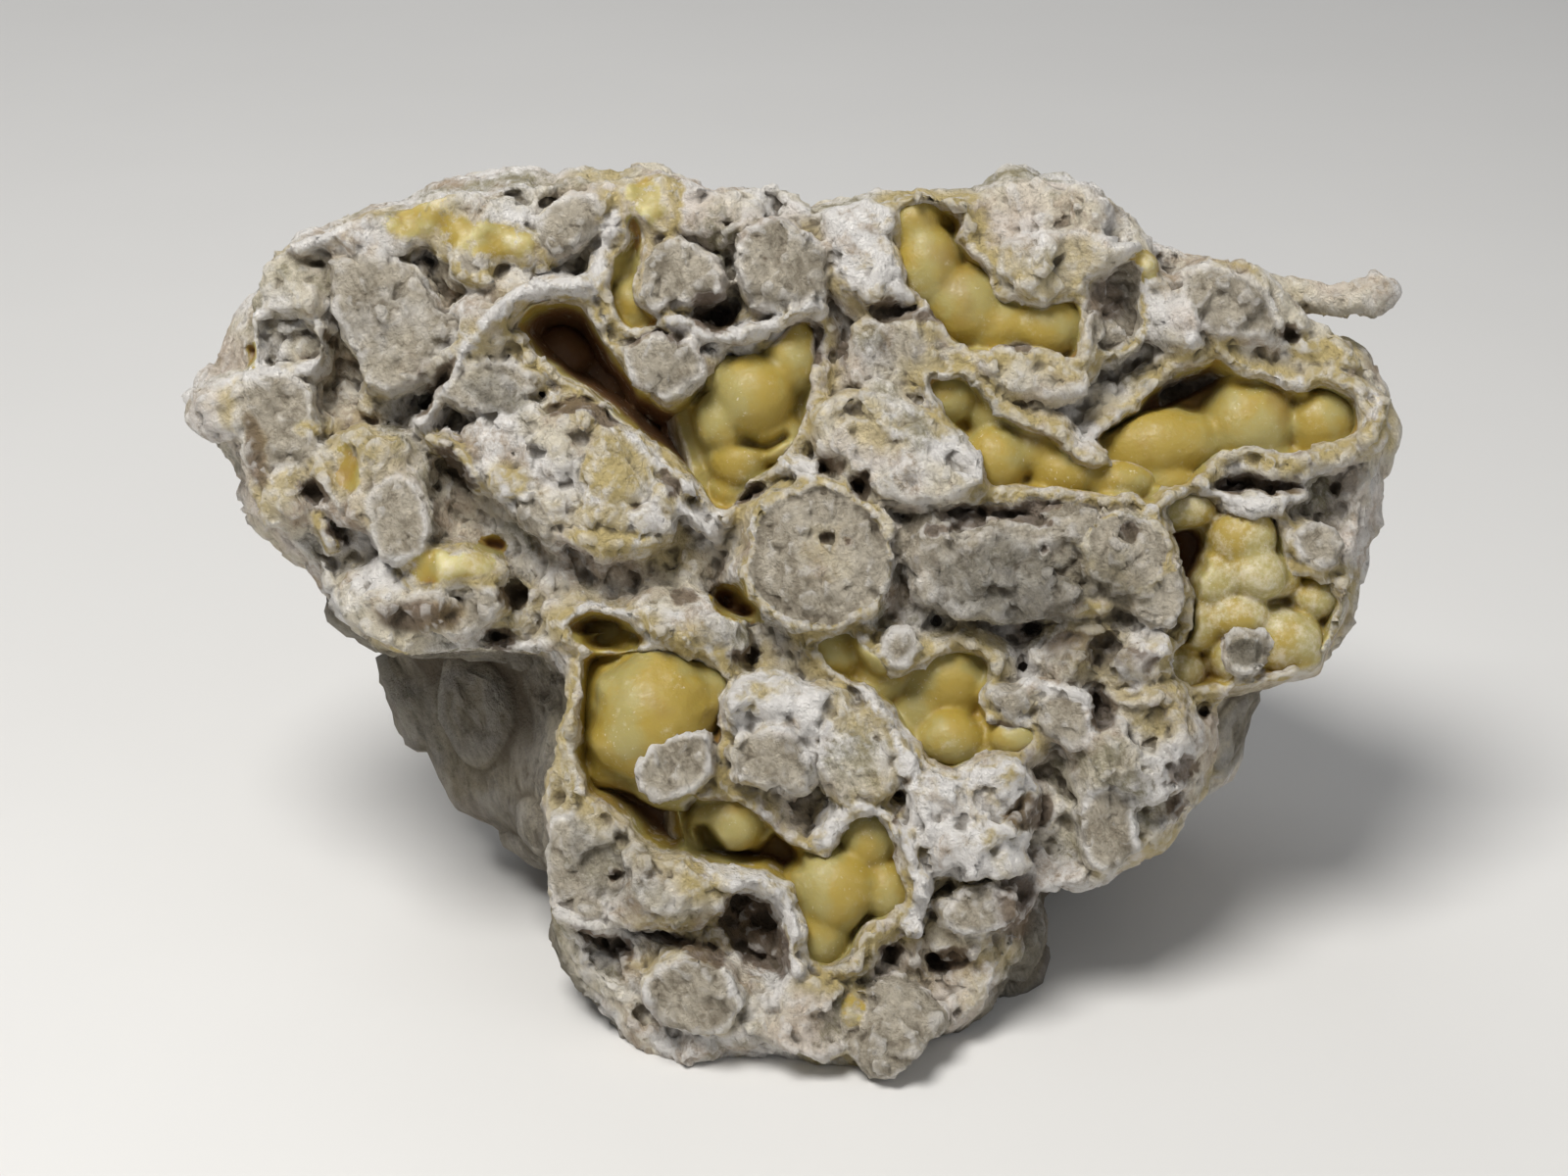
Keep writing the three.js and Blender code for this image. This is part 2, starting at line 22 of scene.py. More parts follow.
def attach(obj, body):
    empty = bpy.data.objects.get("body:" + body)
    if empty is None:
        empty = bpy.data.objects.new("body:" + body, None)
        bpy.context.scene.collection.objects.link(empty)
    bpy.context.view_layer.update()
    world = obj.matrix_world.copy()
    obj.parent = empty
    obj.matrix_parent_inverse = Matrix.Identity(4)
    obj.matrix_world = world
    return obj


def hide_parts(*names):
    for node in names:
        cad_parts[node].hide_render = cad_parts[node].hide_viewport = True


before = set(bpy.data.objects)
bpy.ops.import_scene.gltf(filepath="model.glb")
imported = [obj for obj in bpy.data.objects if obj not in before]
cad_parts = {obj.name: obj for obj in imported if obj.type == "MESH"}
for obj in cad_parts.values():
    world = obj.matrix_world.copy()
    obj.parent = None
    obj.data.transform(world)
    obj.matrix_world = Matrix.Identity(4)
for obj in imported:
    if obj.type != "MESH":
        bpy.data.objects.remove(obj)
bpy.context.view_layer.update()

log = logging.getLogger("aragonite")
MM = 0.001
FAR = 99.0  # in mm, farther off than any place on the rock

Pair = tuple[float, float]
Triple = tuple[float, float, float]
Colour = tuple[float, float, float]
Array = np.ndarray


class Slot(Enum):
    """The record's material slots."""

    CHALK = "chalky_matrix"
    HONEY = "honey_aragonite"


class Tone(Enum):
    """What a place on the rock is made of, besides plain chalk; the brown of holes and grooves and the dark
    grey of the receding lower left side are partly painted shade. The value names its mesh attribute.
    """

    CORE = "core"
    WHITE = "white"
    HONEY = "honey"
    # brown staining, and painted shade where it darkens holes, grooves and recesses
    STAIN = "stain"
    CREAM = "cream"
    # dark weathering, and painted shade on the receding lower left side
    WEATHERED = "weathered"


# ---- Noise over points in space ----

# Large odd numbers, and shifts, that stir whole numbers until they look drawn by chance
AXIS_STIRRERS = (73856093, 19349663, 83492791)
SEED_STIRRER = 40503
ROUNDS = ((13, 1274126177), (15, 1103515245))
WORD = 0xFFFFFFFF

SWIRL_START = 31.7  # keeps the middle of the rock off a corner of the noise's cells
SWIRL_GAIN = 1.3  # widens the noise to about -1 to 1


def scramble(cells: Array, seed: int) -> Array:
    """Gives each whole-numbered place a repeatable number.

    Args:
        cells: Whole-numbered places, one a row.
        seed: Picks one of many patterns.

    Returns:
        A number from 0 to 2**32 for each place.
    """
    across, along, up = (cells[:, axis] * stirrer for axis, stirrer in enumerate(AXIS_STIRRERS))
    mixed = (across ^ along ^ up ^ seed * SEED_STIRRER) & WORD
    for shift, stirrer in ROUNDS:
        mixed = ((mixed ^ mixed >> shift) * stirrer) & WORD
    return mixed ^ mixed >> 16


def slopes(drawn: Array, first: int) -> Array:
    """Three numbers from -1 to 1 out of each drawn number, from its bits after the first ones."""
    return np.stack([(drawn >> first + shift & 255) / 127.5 - 1 for shift in (0, 8, 16)], axis=1)


def swirl(points: Array, size: float, seed: int = 0) -> Array:
    """Smooth noise from about -1 to 1.

    Args:
        points: Places in mm, one a row.
        size: Distance in mm over which it rises and falls.
        seed: Picks one of many patterns.

    Returns:
        The noise at each place.
    """
    scaled = points / size + SWIRL_START
    cell = np.floor(scaled).astype(np.int64)
    part = scaled - cell
    fade = part * part * (3 - 2 * part)
    total = np.zeros(len(points))
    for corner in itertools.product((0, 1), repeat=3):
        offset = np.array(corner)
        share = np.prod(np.where(offset, fade, 1 - fade), axis=1)
        total += share * np.einsum("ij,ij->i", slopes(scramble(cell + offset, seed), 0), part - offset)
    return total * SWIRL_GAIN


@dataclass(frozen=True)
class Cells:
    """Space parted into cells round scattered middles, as grown concretions part it."""

    nearest: Array
    own: Array
    tilt: Array

    @classmethod
    def around(cls, points: Array, size: float, seed: int = 0) -> "Cells":
        """Finds each point's cell.

        Args:
            points: Places in mm, one a row.
            size: Usual width of a cell in mm.
            seed: Picks one of many patterns.

        Returns:
            Distance to the nearest middle, in cell widths, the cell's own number, 0 to 1, and the
            height in mm of a plane through its middle that leans its own way.
        """
        scaled = points / size
        cell = np.floor(scaled).astype(np.int64)
        nearest = np.full(len(points), FAR)
        own = np.zeros(len(points), dtype=np.int64)
        offset = np.zeros_like(scaled)
        for corner in itertools.product((-1, 0, 1), repeat=3):
            at = cell + np.array(corner)
            drawn = scramble(at, seed)
            middle = at + np.stack([(drawn >> shift & 1023) / 1023 for shift in (0, 10, 20)], axis=1)
            away = np.linalg.norm(scaled - middle, axis=1)
            closer = away < nearest
            own = np.where(closer, drawn, own)
            offset = np.where(closer[:, None], scaled - middle, offset)
            nearest = np.minimum(nearest, away)
        tilt = size * np.einsum("ij,ij->i", slopes(own, 3), offset)
        return cls(nearest, (own >> 5 & 0xFFFF) / 0xFFFF, tilt)


@dataclass(frozen=True)
class Waves:
    """Smooth unevenness: its height and length in mm, and which of many patterns it follows."""

    height: float
    length: float
    seed: int

    def over(self, points: Array) -> Array:
        """Its height at places in mm, one a row."""
        return self.height * swirl(points, self.length, self.seed)


@dataclass(frozen=True)
class Facets(Waves):
    """Flat facets that each lean their own way."""

    def over(self, points: Array) -> Array:
        """Their height at places in mm, one a row."""
        return self.height * Cells.around(points, self.length, self.seed).tilt


@dataclass(frozen=True)
class Ridges(Waves):
    """Layers of ever finer waves with sharp crests, each half as long as the last."""

    layers: int = 3
    crest: float = 0.55
    fall: float = 1.9
    fade: float = 0.52

    def over(self, points: Array) -> Array:
        """Their height at places in mm, one a row."""
        total = np.zeros(len(points))
        strength = 1.0
        for layer in range(self.layers):
            wave = swirl(points, self.length / 2**layer, self.seed + layer)
            total += strength * (self.crest - self.fall * np.abs(wave))
            strength *= self.fade
        return self.height * total


def heights(parts: Sequence[Waves], points: Array, base: Array | float = 0.0) -> Array:
    """The height of several unevennesses together, on a base, at places in mm."""
    return sum((part.over(points) for part in parts), base)


def ramp(value: Array, start: float | Array, end: float | Array) -> Array:
    """A smooth step from 0 at start to 1 at end."""
    share = np.clip((value - start) / (end - start), 0, 1)
    return share * share * (3 - 2 * share)


def ledges(height: Array, step: float, climb: Pair = (0.5, 0.95)) -> Array:
    """Turns a height in mm into broken ledges.

    Args:
        height: The height.
        step: How far apart the ledges are.
        climb: Where the front of a ledge starts and ends, as shares of a step.

    Returns:
        The height, level on top of each ledge and steep in front of it.
    """
    level = np.floor(height / step)
    return step * (level + ramp(height / step - level, *climb))


def dome(away: Array) -> Array:
    """The height of a round dome, 1 in its middle and 0 from where away is 1."""
    return np.sqrt(np.maximum(1 - away**2, 0))


# ---- The frame of the face, and tools on meshes ----


@dataclass(frozen=True)
class FaceFrame:
    """How the broken face stands on the ground: its lean, and its middle in mm."""

    lean: float = math.radians(25)
    middle: Triple = (-0.65, -16.37, 37.8)

    @property
    def to_ground(self) -> Matrix:
        """From mm on the face to metres on the ground."""
        turn = Matrix.Rotation(math.pi / 2 - self.lean, 4, "X")
        return Matrix.Scale(MM, 4) @ Matrix.Translation(self.middle) @ turn

    def on_face(self, points: Array) -> Array:
        """Turns points in metres on the ground into mm on the face."""
        back = np.array(self.to_ground.inverted())
        return points @ back[:3, :3].T + back[:3, 3]


FACE = FaceFrame()


def rows(items: bpy.types.bpy_prop_collection, name: str, width: int, kind: type) -> Array:
    """Reads a row of numbers from each vertex or edge of a mesh.

    Args:
        items: The vertices, their normals or the edges.
        name: What is read from each.
        width: How many numbers that is.
        kind: Their type.

    Returns:
        The numbers, a row for each item.
    """
    flat = np.empty(len(items) * width, dtype=kind)
    items.foreach_get(name, flat)
    return flat.reshape(-1, width)


def coordinates(mesh: Mesh) -> Array:
    """The places of a mesh's vertices, one a row."""
    return rows(mesh.vertices, "co", 3, np.float32).astype(float)


def normals(mesh: Mesh) -> Array:
    """The outward directions of a mesh's vertices, one a row."""
    return rows(mesh.vertex_normals, "vector", 3, np.float32).astype(float)


def edges_of(mesh: Mesh) -> Array:
    """The pairs of neighbouring vertices of a mesh, one a row."""
    return rows(mesh.edges, "vertices", 2, np.int32)


def move_to(mesh: Mesh, places: Array) -> None:
    """Moves every vertex of a mesh to its row of places."""
    mesh.vertices.foreach_set("co", places.astype(np.float32).ravel())
    mesh.update()


def mesh_of(shape: bmesh.types.BMesh, name: str) -> Mesh:
    """Turns a finished shape into a mesh, and lets the shape go."""
    mesh = bpy.data.meshes.new(name)
    shape.to_mesh(mesh)
    shape.free()
    return mesh


def piece_of(name: str, mesh: Mesh) -> Object:
    """Puts a mesh in the scene as an object of its own."""
    piece = bpy.data.objects.new(name, mesh)
    bpy.context.scene.collection.objects.link(piece)
    return piece


def discard(piece: Object) -> None:
    """Takes a working object out of the scene."""
    mesh = piece.data
    bpy.data.objects.remove(piece)
    bpy.data.meshes.remove(mesh)


def settle(piece: Object) -> None:
    """Applies the modifiers of an object to its mesh."""
    before = piece.data
    evaluated = piece.evaluated_get(bpy.context.evaluated_depsgraph_get())
    piece.data = bpy.data.meshes.new_from_object(evaluated)
    piece.modifiers.clear()
    bpy.data.meshes.remove(before)


def remesh(piece: Object, voxel: float) -> None:
    """Rebuilds an object's surface in even steps of a voxel, which fuses what overlaps."""
    step = piece.modifiers.new("Fuse", "REMESH")
    step.mode = "VOXEL"
    step.voxel_size = voxel
    settle(piece)


def combine(piece: Object, other: Object, operation: str) -> None:
    """Joins another object to a piece, or cuts it away, and discards it.

    Args:
        piece: What is kept.
        other: What is joined or cut away.
        operation: UNION or DIFFERENCE.
    """
    step = piece.modifiers.new(operation, "BOOLEAN")
    step.solver = "MANIFOLD"
    step.operation = operation
    step.object = other
    settle(piece)
    discard(other)


def thin(piece: Object, triangles: int, coarse: Array | None = None,
         fine_weight: float = 0.6, weight_factor: float = 0.02) -> None:
    """Thins an object's mesh, most where it is flat.

    Args:
        piece: The object.
        triangles: How many triangles it keeps.
        coarse: For each vertex whether it lies where fewer will do.
        fine_weight: How readily the other vertices go, from 0 to 1.
        weight_factor: How much that counts for.
    """
    count = sum(len(face.vertices) - 2 for face in piece.data.polygons)
    if count <= triangles:
        return
    step = piece.modifiers.new("Thin", "DECIMATE")
    step.ratio = triangles / count
    if coarse is not None:
        group = piece.vertex_groups.new(name="coarse")
        for chosen, weight in ((coarse, 1.0), (~coarse, fine_weight)):
            group.add([int(each) for each in np.flatnonzero(chosen)], weight, "REPLACE")
        step.vertex_group = group.name
        step.vertex_group_factor = weight_factor
    settle(piece)
    piece.vertex_groups.clear()


def soften(places: Array, edges: Array, rounds: int) -> Array:
    """Averages each vertex's place with its neighbours', again and again.

    Args:
        places: Places, one a row.
        edges: Pairs of neighbours, one a row.
        rounds: How many times.

    Returns:
        The softened places.
    """
    count = len(places)
    both = np.concatenate([edges, edges[:, ::-1]])
    degree = np.maximum(np.bincount(both[:, 0], minlength=count), 1)[:, None]
    for _ in range(rounds):
        sums = [np.bincount(both[:, 0], places[both[:, 1], axis], count) for axis in range(3)]
        places = 0.5 * places + 0.5 * np.stack(sums, axis=1) / degree
    return places


def store(mesh: Mesh, name: str, values: Array) -> None:
    """Keeps a number for each vertex, for the finish to read."""
    attribute = mesh.attributes.new(name, "FLOAT", "POINT")
    attribute.data.foreach_set("value", np.clip(values, 0, 1).astype(np.float32))


@dataclass(frozen=True)
class Folds:
    """How deep each vertex lies in folds of one size: 0.5 on level ground, 1 in creases, 0 on ridges."""

    name: str
    rounds: int
    span: float

    def keep(self, mesh: Mesh) -> None:
        """Compares a mesh with a softened copy of it, and keeps the depth for the finish."""
        places = coordinates(mesh)
        softened = soften(places, edges_of(mesh), self.rounds)
        depth = np.einsum("ij,ij->i", softened - places, normals(mesh))
        store(mesh, self.name, 0.5 + depth / (self.span * MM))


# ---- Forms on the face ----

BEND_U = (Waves(0.6, 5.5, 3), Waves(0.35, 2.1, 4), Waves(0.14, 0.9, 5))
BEND_V = (Waves(0.6, 5.5, 13), Waves(0.35, 2.1, 14), Waves(0.14, 0.9, 15))
FINE = Waves(1.0, 1.1, 8)
WOBBLE = Waves(1.0, 2.4, 9)
DRIFT = Waves(1.0, 5.0, 10)
BROKEN_FACETS = (Facets(0.7, 4.2, 21), Facets(0.45, 2.0, 22))
USUAL_DUSK = 4.0  # depth in mm at which painted shade starts to darken a lining


def level_with(u: Array, v: Array) -> Array:
    """Places on the face as points at no height."""
    return np.stack([u, v, np.zeros_like(u)], axis=1)


def bent(u: Array, v: Array) -> tuple[Array, Array]:
    """Shifts places on the face a little, so that outlines with straight sides come out uneven."""
    flat = level_with(u, v)
    return u + heights(BEND_U, flat), v + heights(BEND_V, flat)


def beside_line(u: Array, v: Array, start: Sequence[float], end: Sequence[float]) -> tuple[Array, Array]:
    """How far along a straight line places lie, from 0 to 1, and their distance from it."""
    du, dv = end[0] - start[0], end[1] - start[1]
    along = np.clip(((u - start[0]) * du + (v - start[1]) * dv) / (du * du + dv * dv), 0, 1)
    return along, np.hypot(u - start[0] - along * du, v - start[1] - along * dv)


class FaceField:
    """The face as a height over each of many places on it, and what each place is made of, with the painted
    shade that some tones carry.
    """

    def __init__(self, u: Array, v: Array, height: Array) -> None:
        """Starts with bare chalk.

        Args:
            u: How far right each place is, in mm.
            v: How far up the face.
            height: How far out of it.
        """
        self.flat = level_with(u, v)
        self.u, self.v = bent(u, v)
        self.fine = FINE.over(self.flat)
        self.wobble = WOBBLE.over(self.flat)
        self.drift = DRIFT.over(self.flat)
        self.facets = heights(BROKEN_FACETS, self.flat)
        self.height = height.copy()
        self.tones = {tone: np.zeros_like(u) for tone in Tone}
        self.lined = np.zeros(len(u), dtype=bool)
        self.dusk = np.full(len(u), USUAL_DUSK)
        self.rim = np.zeros(len(u))

    def near(self, u_from: float, u_to: float, v_from: float, v_to: float) -> Array:
        """Finds the places within a box."""
        return np.flatnonzero((self.u > u_from) & (self.u < u_to) & (self.v > v_from) & (self.v < v_to))

    def paint(self, near: Array, share: Array, tone: Tone | None) -> None:
        """Turns a share of some places into a tone, or into chalk where there is none."""
        for each, mask in self.tones.items():
            mask[near] += share * ((1.0 if each is tone else 0.0) - mask[near])

    def raise_to(self, near: Array, height: Array, tone: Tone | None, where: Array | bool = True) -> None:
        """Lifts some places to a height wherever that is higher.

        Args:
            near: The places.
            height: The height over each of them.
            tone: What the lifted ones are made of.
            where: Which of them may be lifted.
        """
        height = np.where(where, height, -FAR)
        self.paint(near, ramp(height - self.height[near], 0.0, 0.12), tone)
        self.height[near] = np.maximum(self.height[near], height)

    def sink(self, near: Array, depth: Array, tone: Tone | None) -> None:
        """Lowers some places by a depth."""
        self.paint(near, ramp(depth, 0.1, 0.5), tone)
        self.height[near] -= depth


@dataclass(frozen=True)
class Spot:
    """An oval place on the face: its middle u, v, its half sizes a, b, and its turn in degrees."""

    u: float
    v: float
    a: float
    b: float
    turn: float = field(default=0.0, kw_only=True)

    def near(self, face: FaceField) -> Array:
        """Finds the places it may reach."""
        reach = 1.15 * max(self.a, self.b) + 1.5
        return face.near(self.u - reach, self.u + reach, self.v - reach, self.v + reach)

    def across(self, u: Array, v: Array) -> tuple[Array, Array]:
        """Places on the face, from the spot's middle along its two axes, in half sizes."""
        angle = math.radians(self.turn)
        du, dv = u - self.u, v - self.v
        x = (du * math.cos(angle) + dv * math.sin(angle)) / self.a
        y = (dv * math.cos(angle) - du * math.sin(angle)) / self.b
        return x, y

    def away(self, u: Array, v: Array) -> Array:
        """Distance of places from the spot's middle, 1 at its edge."""
        return np.hypot(*self.across(u, v))


@dataclass(frozen=True)
class Lump(Spot):
    """A rounded mass of rock: the height w of its middle, and its half height c."""

    w: float
    c: float
    tone: Tone | None = None

    def press(self, face: FaceField) -> None:
        """Raises the lump on the face."""
        near = self.near(face)
        x, y = self.across(face.u[near], face.v[near])
        inside = 1 - x * x - y * y
        height = self.w + self.c * np.sqrt(np.maximum(inside, 0))
        face.raise_to(near, height, self.tone, inside > 0)


@dataclass(frozen=True)
class Core(Lump):
    """A concretion broken straight across: a round, ringed, sandy face in thin pale shells."""

    tone: Tone | None = Tone.CORE
    rim: float = 0.45
    rings: float = 3.0
    ring_height: float = 0.12
    crown: float = 0.7
    shells: int = 2
    shell_width: float = 0.4
    least_width: float = 0.08
    flank: float = 3.2

    def press(self, face: FaceField) -> None:
        """Raises the broken face and its shells, and the flank round them."""
        near = self.near(face)
        wobble, drift = face.wobble[near], face.drift[near]
        away = self.away(face.u[near], face.v[near])
        out = (away - 1) * (self.a + self.b) / 2
        rings = self.ring_height * np.cos(2 * math.pi * self.rings * away) * ramp(away, 0.1, 0.4)
        crumbled = 0.25 * wobble + 0.3 * drift
        top = self.w + self.c + rings + crumbled
        face.raise_to(near, top - self.crown * away**4, self.tone, out < 0)
        width = np.maximum(self.shell_width + 0.7 * drift + 0.3 * wobble, self.least_width)
        for shell in range(self.shells):
            past = out - shell * 1.1 * width
            crest = top - 0.2 - 0.3 * shell + self.rim * (1 - (2 * past / width - 1) ** 2)
            face.raise_to(near, crest, Tone.CREAM, (past > 0) & (past < width))
        face.raise_to(near, top - 0.6 - self.flank * (out - width), None, out >= width)


@dataclass(frozen=True)
class Wall:
    """A thin wall or ledge along a crest, given by its points u, v, w. steep is the fall of its sides."""

    half: float
    points: tuple[Triple, ...]
    steep: float = 3.0
    tone: Tone | None = Tone.WHITE

    def near(self, face: FaceField) -> Array:
        """Finds the places it may reach."""
        us, vs, _ = zip(*self.points, strict=True)
        reach = 4 * self.half + 1.5
        return face.near(min(us) - reach, max(us) + reach, min(vs) - reach, max(vs) + reach)

    def beside(self, u: Array, v: Array) -> tuple[Array, Array]:
        """Distance of places from the crest's line, and the height of the crest there."""
        best = np.full(len(u), FAR)
        crest = np.zeros(len(u))
        for start, end in itertools.pairwise(self.points):
            along, away = beside_line(u, v, start, end)
            closer = away < best
            best = np.where(closer, away, best)
            crest = np.where(closer, start[2] + along * (end[2] - start[2]), crest)
        return best, crest

    def press(self, face: FaceField) -> None:
        """Raises the wall on the face, with a ragged crest."""
        near = self.near(face)
        fine, wobble, drift = face.fine[near], face.wobble[near], face.drift[near]
        away, crest = self.beside(face.u[near], face.v[near])
        half = 0.8 * self.half * (1 + 0.6 * wobble)
        crest = crest + 0.6 * wobble + 0.5 * drift + 0.3 * fine
        crest += 0.5 * face.facets[near]
        height = crest - 0.3 * (away / half) ** 2 - self.steep * np.maximum(away - half, 0)
        face.raise_to(near, height, self.tone, away < 4 * half + 0.6)


@dataclass(frozen=True)
class Slit(Wall):
    """A groove along a line. The third number of each point is its depth there."""

    # darkens the groove: brown staining and painted shade
    tone: Tone | None = Tone.STAIN

    def press(self, face: FaceField) -> None:
        """Sinks the groove into the face."""
        near = self.near(face)
        away, depth = self.beside(face.u[near], face.v[near])
        half = self.half * (1 + 0.8 * face.wobble[near])
        face.sink(near, depth * dome(away / half), self.tone)


@dataclass(frozen=True)
class Pit(Spot):
    """A small uneven hole sunk into the face."""

    depth: float
    # darkens the hole: brown staining and painted shade
    tone: Tone | None = Tone.STAIN

    def press(self, face: FaceField) -> None:
        """Sinks the hole into the face."""
        near = self.near(face)
        away = self.away(face.u[near], face.v[near])
        away = away * (1 + 0.5 * face.fine[near] + 0.3 * face.wobble[near])
        face.sink(near, self.depth * (1 - ramp(away, 0.3, 1.0)), self.tone)


@dataclass(frozen=True)
class Patch(Spot):
    """A stretch of the face of which a share is made of something else, with no height of its own."""

    tone: Tone
    share: float = 1.0

    def press(self, face: FaceField) -> None:
        """Paints the patch, with a ragged edge."""
        near = self.near(face)
        away = self.away(face.u[near], face.v[near]) + 0.3 * face.wobble[near]
        face.paint(near, self.share * (1 - ramp(away, 0.45, 1.1)), self.tone)


@dataclass(frozen=True)
class Shape:
    """A form with an outline on the face, given by u and v of one corner after another."""

    corners: tuple[float, ...]

    def points(self) -> tuple[Pair, ...]:
        """The corners, each as its u and v."""
        return tuple(zip(self.corners[::2], self.corners[1::2], strict=True))

    def sides(self) -> Iterator[tuple[Pair, Pair]]:
        """The start and end of each side of the outline."""
        points = self.points()
        return zip(points, points[1:] + points[:1], strict=True)

    def box(self, margin: float) -> tuple[float, float, float, float]:
        """The least and most u, then v, that it spans, and a margin round it."""
        us, vs = self.corners[::2], self.corners[1::2]
        return min(us) - margin, max(us) + margin, min(vs) - margin, max(vs) + margin

    def inside(self, u: Array, v: Array) -> Array:
        """How far places lie inside the outline in mm, under 0 outside it."""
        nearest = np.full(len(u), FAR)
        odd = np.zeros(len(u), dtype=bool)
        for (u0, v0), (u1, v1) in self.sides():
            nearest = np.minimum(nearest, beside_line(u, v, (u0, v0), (u1, v1))[1])
            du, dv = u1 - u0, v1 - v0
            odd ^= ((v0 > v) != (v1 > v)) & (((u - u0) * dv < du * (v - v0)) == (dv > 0))
        return np.where(odd, nearest, -nearest)


@dataclass(frozen=True)
class Plate(Shape):
    """A mass broken off nearly level: the height of its top, the lean of it, and its rim and roughness."""

    top: float
    lean: Pair = (0.0, 0.0)
    tone: Tone | None = None
    rim: float = 0.0
    rough: float = 0.5
    rounding: float = 0.7

    def press(self, face: FaceField) -> None:
        """Brings the face to the height of the mass, rounded and crumbled at its edge."""
        near = face.near(*self.box(1.5))
        u, v = face.u[near], face.v[near]
        fine, wobble, drift = face.fine[near], face.wobble[near], face.drift[near]
        inside = self.inside(u, v) + 0.3 * wobble + 0.25 * fine
        middle = np.mean(self.points(), axis=0)
        top = self.top + self.lean[0] * (u - middle[0]) + self.lean[1] * (v - middle[1])
        top += self.rough * (0.7 * face.facets[near] + 0.5 * drift + 0.3 * wobble)
        top -= self.rounding * (1 - ramp(inside, 0.0, 1.6)) ** 2
        share = ramp(inside, -0.25, 0.3)
        face.paint(near, ramp(inside, -0.1, 0.3), self.tone)
        face.height[near] += share * (top - face.height[near])
        if self.rim:
            band = ramp(inside, -0.15, 0.15) * (1 - ramp(inside, 0.35, 0.95)) * ramp(drift, -0.5, 0.0)
            face.height[near] += self.rim * band
            face.paint(near, 0.6 * band, Tone.WHITE)


@dataclass(frozen=True)
class Hollow(Shape):
    """An angular hole in the face: how deep it is, and what its bottom is made of, by default a brown
    staining that also paints shade into the hole.
    """

    depth: float
    # darkens the hole's bottom: brown staining and painted shade
    tone: Tone | None = Tone.STAIN

    def press(self, face: FaceField) -> None:
        """Sinks the hole into the face."""
        near = face.near(*self.box(1.2))
        inside = self.inside(face.u[near], face.v[near]) + 0.25 * face.wobble[near] + 0.25 * face.fine[near]
        depth = self.depth * ramp(inside, -0.15, 0.3 + 0.12 * self.depth)
        face.sink(near, depth, self.tone)
        face.height[near] += 0.5 * face.facets[near] * ramp(depth, 0.0, 1.0)


@dataclass(frozen=True)
class Basin(Shape):
    """A hollow lined with aragonite: its rim's height, its lip's, its floor, and the depth where painted
    shade starts on its lining.
    """

    rim: float
    lip: float
    floor: float
    dusk: float = USUAL_DUSK
    lip_reach: float = 2.0
    lining_room: float = 2.0

    def raise_lip(self, face: FaceField) -> None:
        """Raises the broken lip round the hollow."""
        near = face.near(*self.box(3.0))
        wobble, drift = face.wobble[near], face.drift[near]
        inside = self.inside(face.u[near], face.v[near])
        out = np.maximum(-inside, 0)
        crest = self.rim - 0.7 + self.lip * (0.6 + 1.5 * drift) + 0.4 * face.facets[near]
        crest = crest + 0.7 * wobble + 0.3 * face.fine[near] + 0.8 * drift
        crest -= (0.9 + 0.6 * wobble) * out**1.5
        face.raise_to(near, crest, None, inside > -self.lip_reach)

    def press(self, face: FaceField) -> None:
        """Sinks the hollow, with a rounded lip and room under its lining."""
        near = face.near(*self.box(4.0))
        fine, wobble, drift = face.fine[near], face.wobble[near], face.drift[near]
        inside = self.inside(face.u[near], face.v[near]) + 0.35 + 0.25 * wobble + 0.2 * fine
        side = self.rim + 0.3 - 1.4 * inside - 6.0 * np.maximum(inside - 0.35, 0)
        bottom = np.maximum(side, self.floor - self.lining_room)
        lined = inside > 0
        face.height[near] = np.where(lined, np.minimum(face.height[near], bottom), face.height[near])
        cream = ramp(inside + 1.8 * drift + 0.6 * wobble, -2.8, -0.5)
        face.tones[Tone.CREAM][near] = np.maximum(face.tones[Tone.CREAM][near], cream)
        face.paint(near, ramp(inside + 0.4 * wobble + 0.3 * fine, 0.2, 0.8), Tone.HONEY)
        face.lined[near] |= lined
        face.dusk[near] = np.where(lined, self.dusk, face.dusk[near])
        face.rim[near] = np.where(lined, self.rim, face.rim[near])


@dataclass(frozen=True)
class Outline(Shape):
    """A closed outline round the middle of the body, its corners anticlockwise."""

    middle: Pair

    def reach(self, angle: Array) -> Array:
        """How far the outline lies from the middle in each direction."""
        du, dv = np.cos(angle), np.sin(angle)
        reach = np.zeros_like(angle)
        for start, end in self.sides():
            eu, ev = end[0] - start[0], end[1] - start[1]
            su, sv = start[0] - self.middle[0], start[1] - self.middle[1]
            across = du * ev - dv * eu
            across = np.where(np.abs(across) < 1e-9, 1e-9, across)
            along = (su * dv - sv * du) / across
            out = (su * ev - sv * eu) / across
            reach = np.where((along >= 0) & (along <= 1) & (out > reach), out, reach)
        return reach


@dataclass(frozen=True)
class Knob(Spot):
    """A globule of a lining: a dome given by the height of its top."""

    top: float
    roundness: float = 0.45
    fall: float = 12.0

    def level(self, u: Array, v: Array, bumpy: Array) -> Array:
        """The height of the globule over places on the face, falling steeply past its edge.

        Args:
            u: How far right each place is.
            v: How far up the face.
            bumpy: How much farther the globule reaches towards each place, as a share.

        Returns:
            The height in mm.
        """
        height = self.roundness * (self.a + self.b)
        away = self.away(u, v) / bumpy
        return self.top - height + height * dome(away) - self.fall * np.maximum(away - 1, 0)


# ---- The rock ----

MIDDLE = (2.0, -2.0)

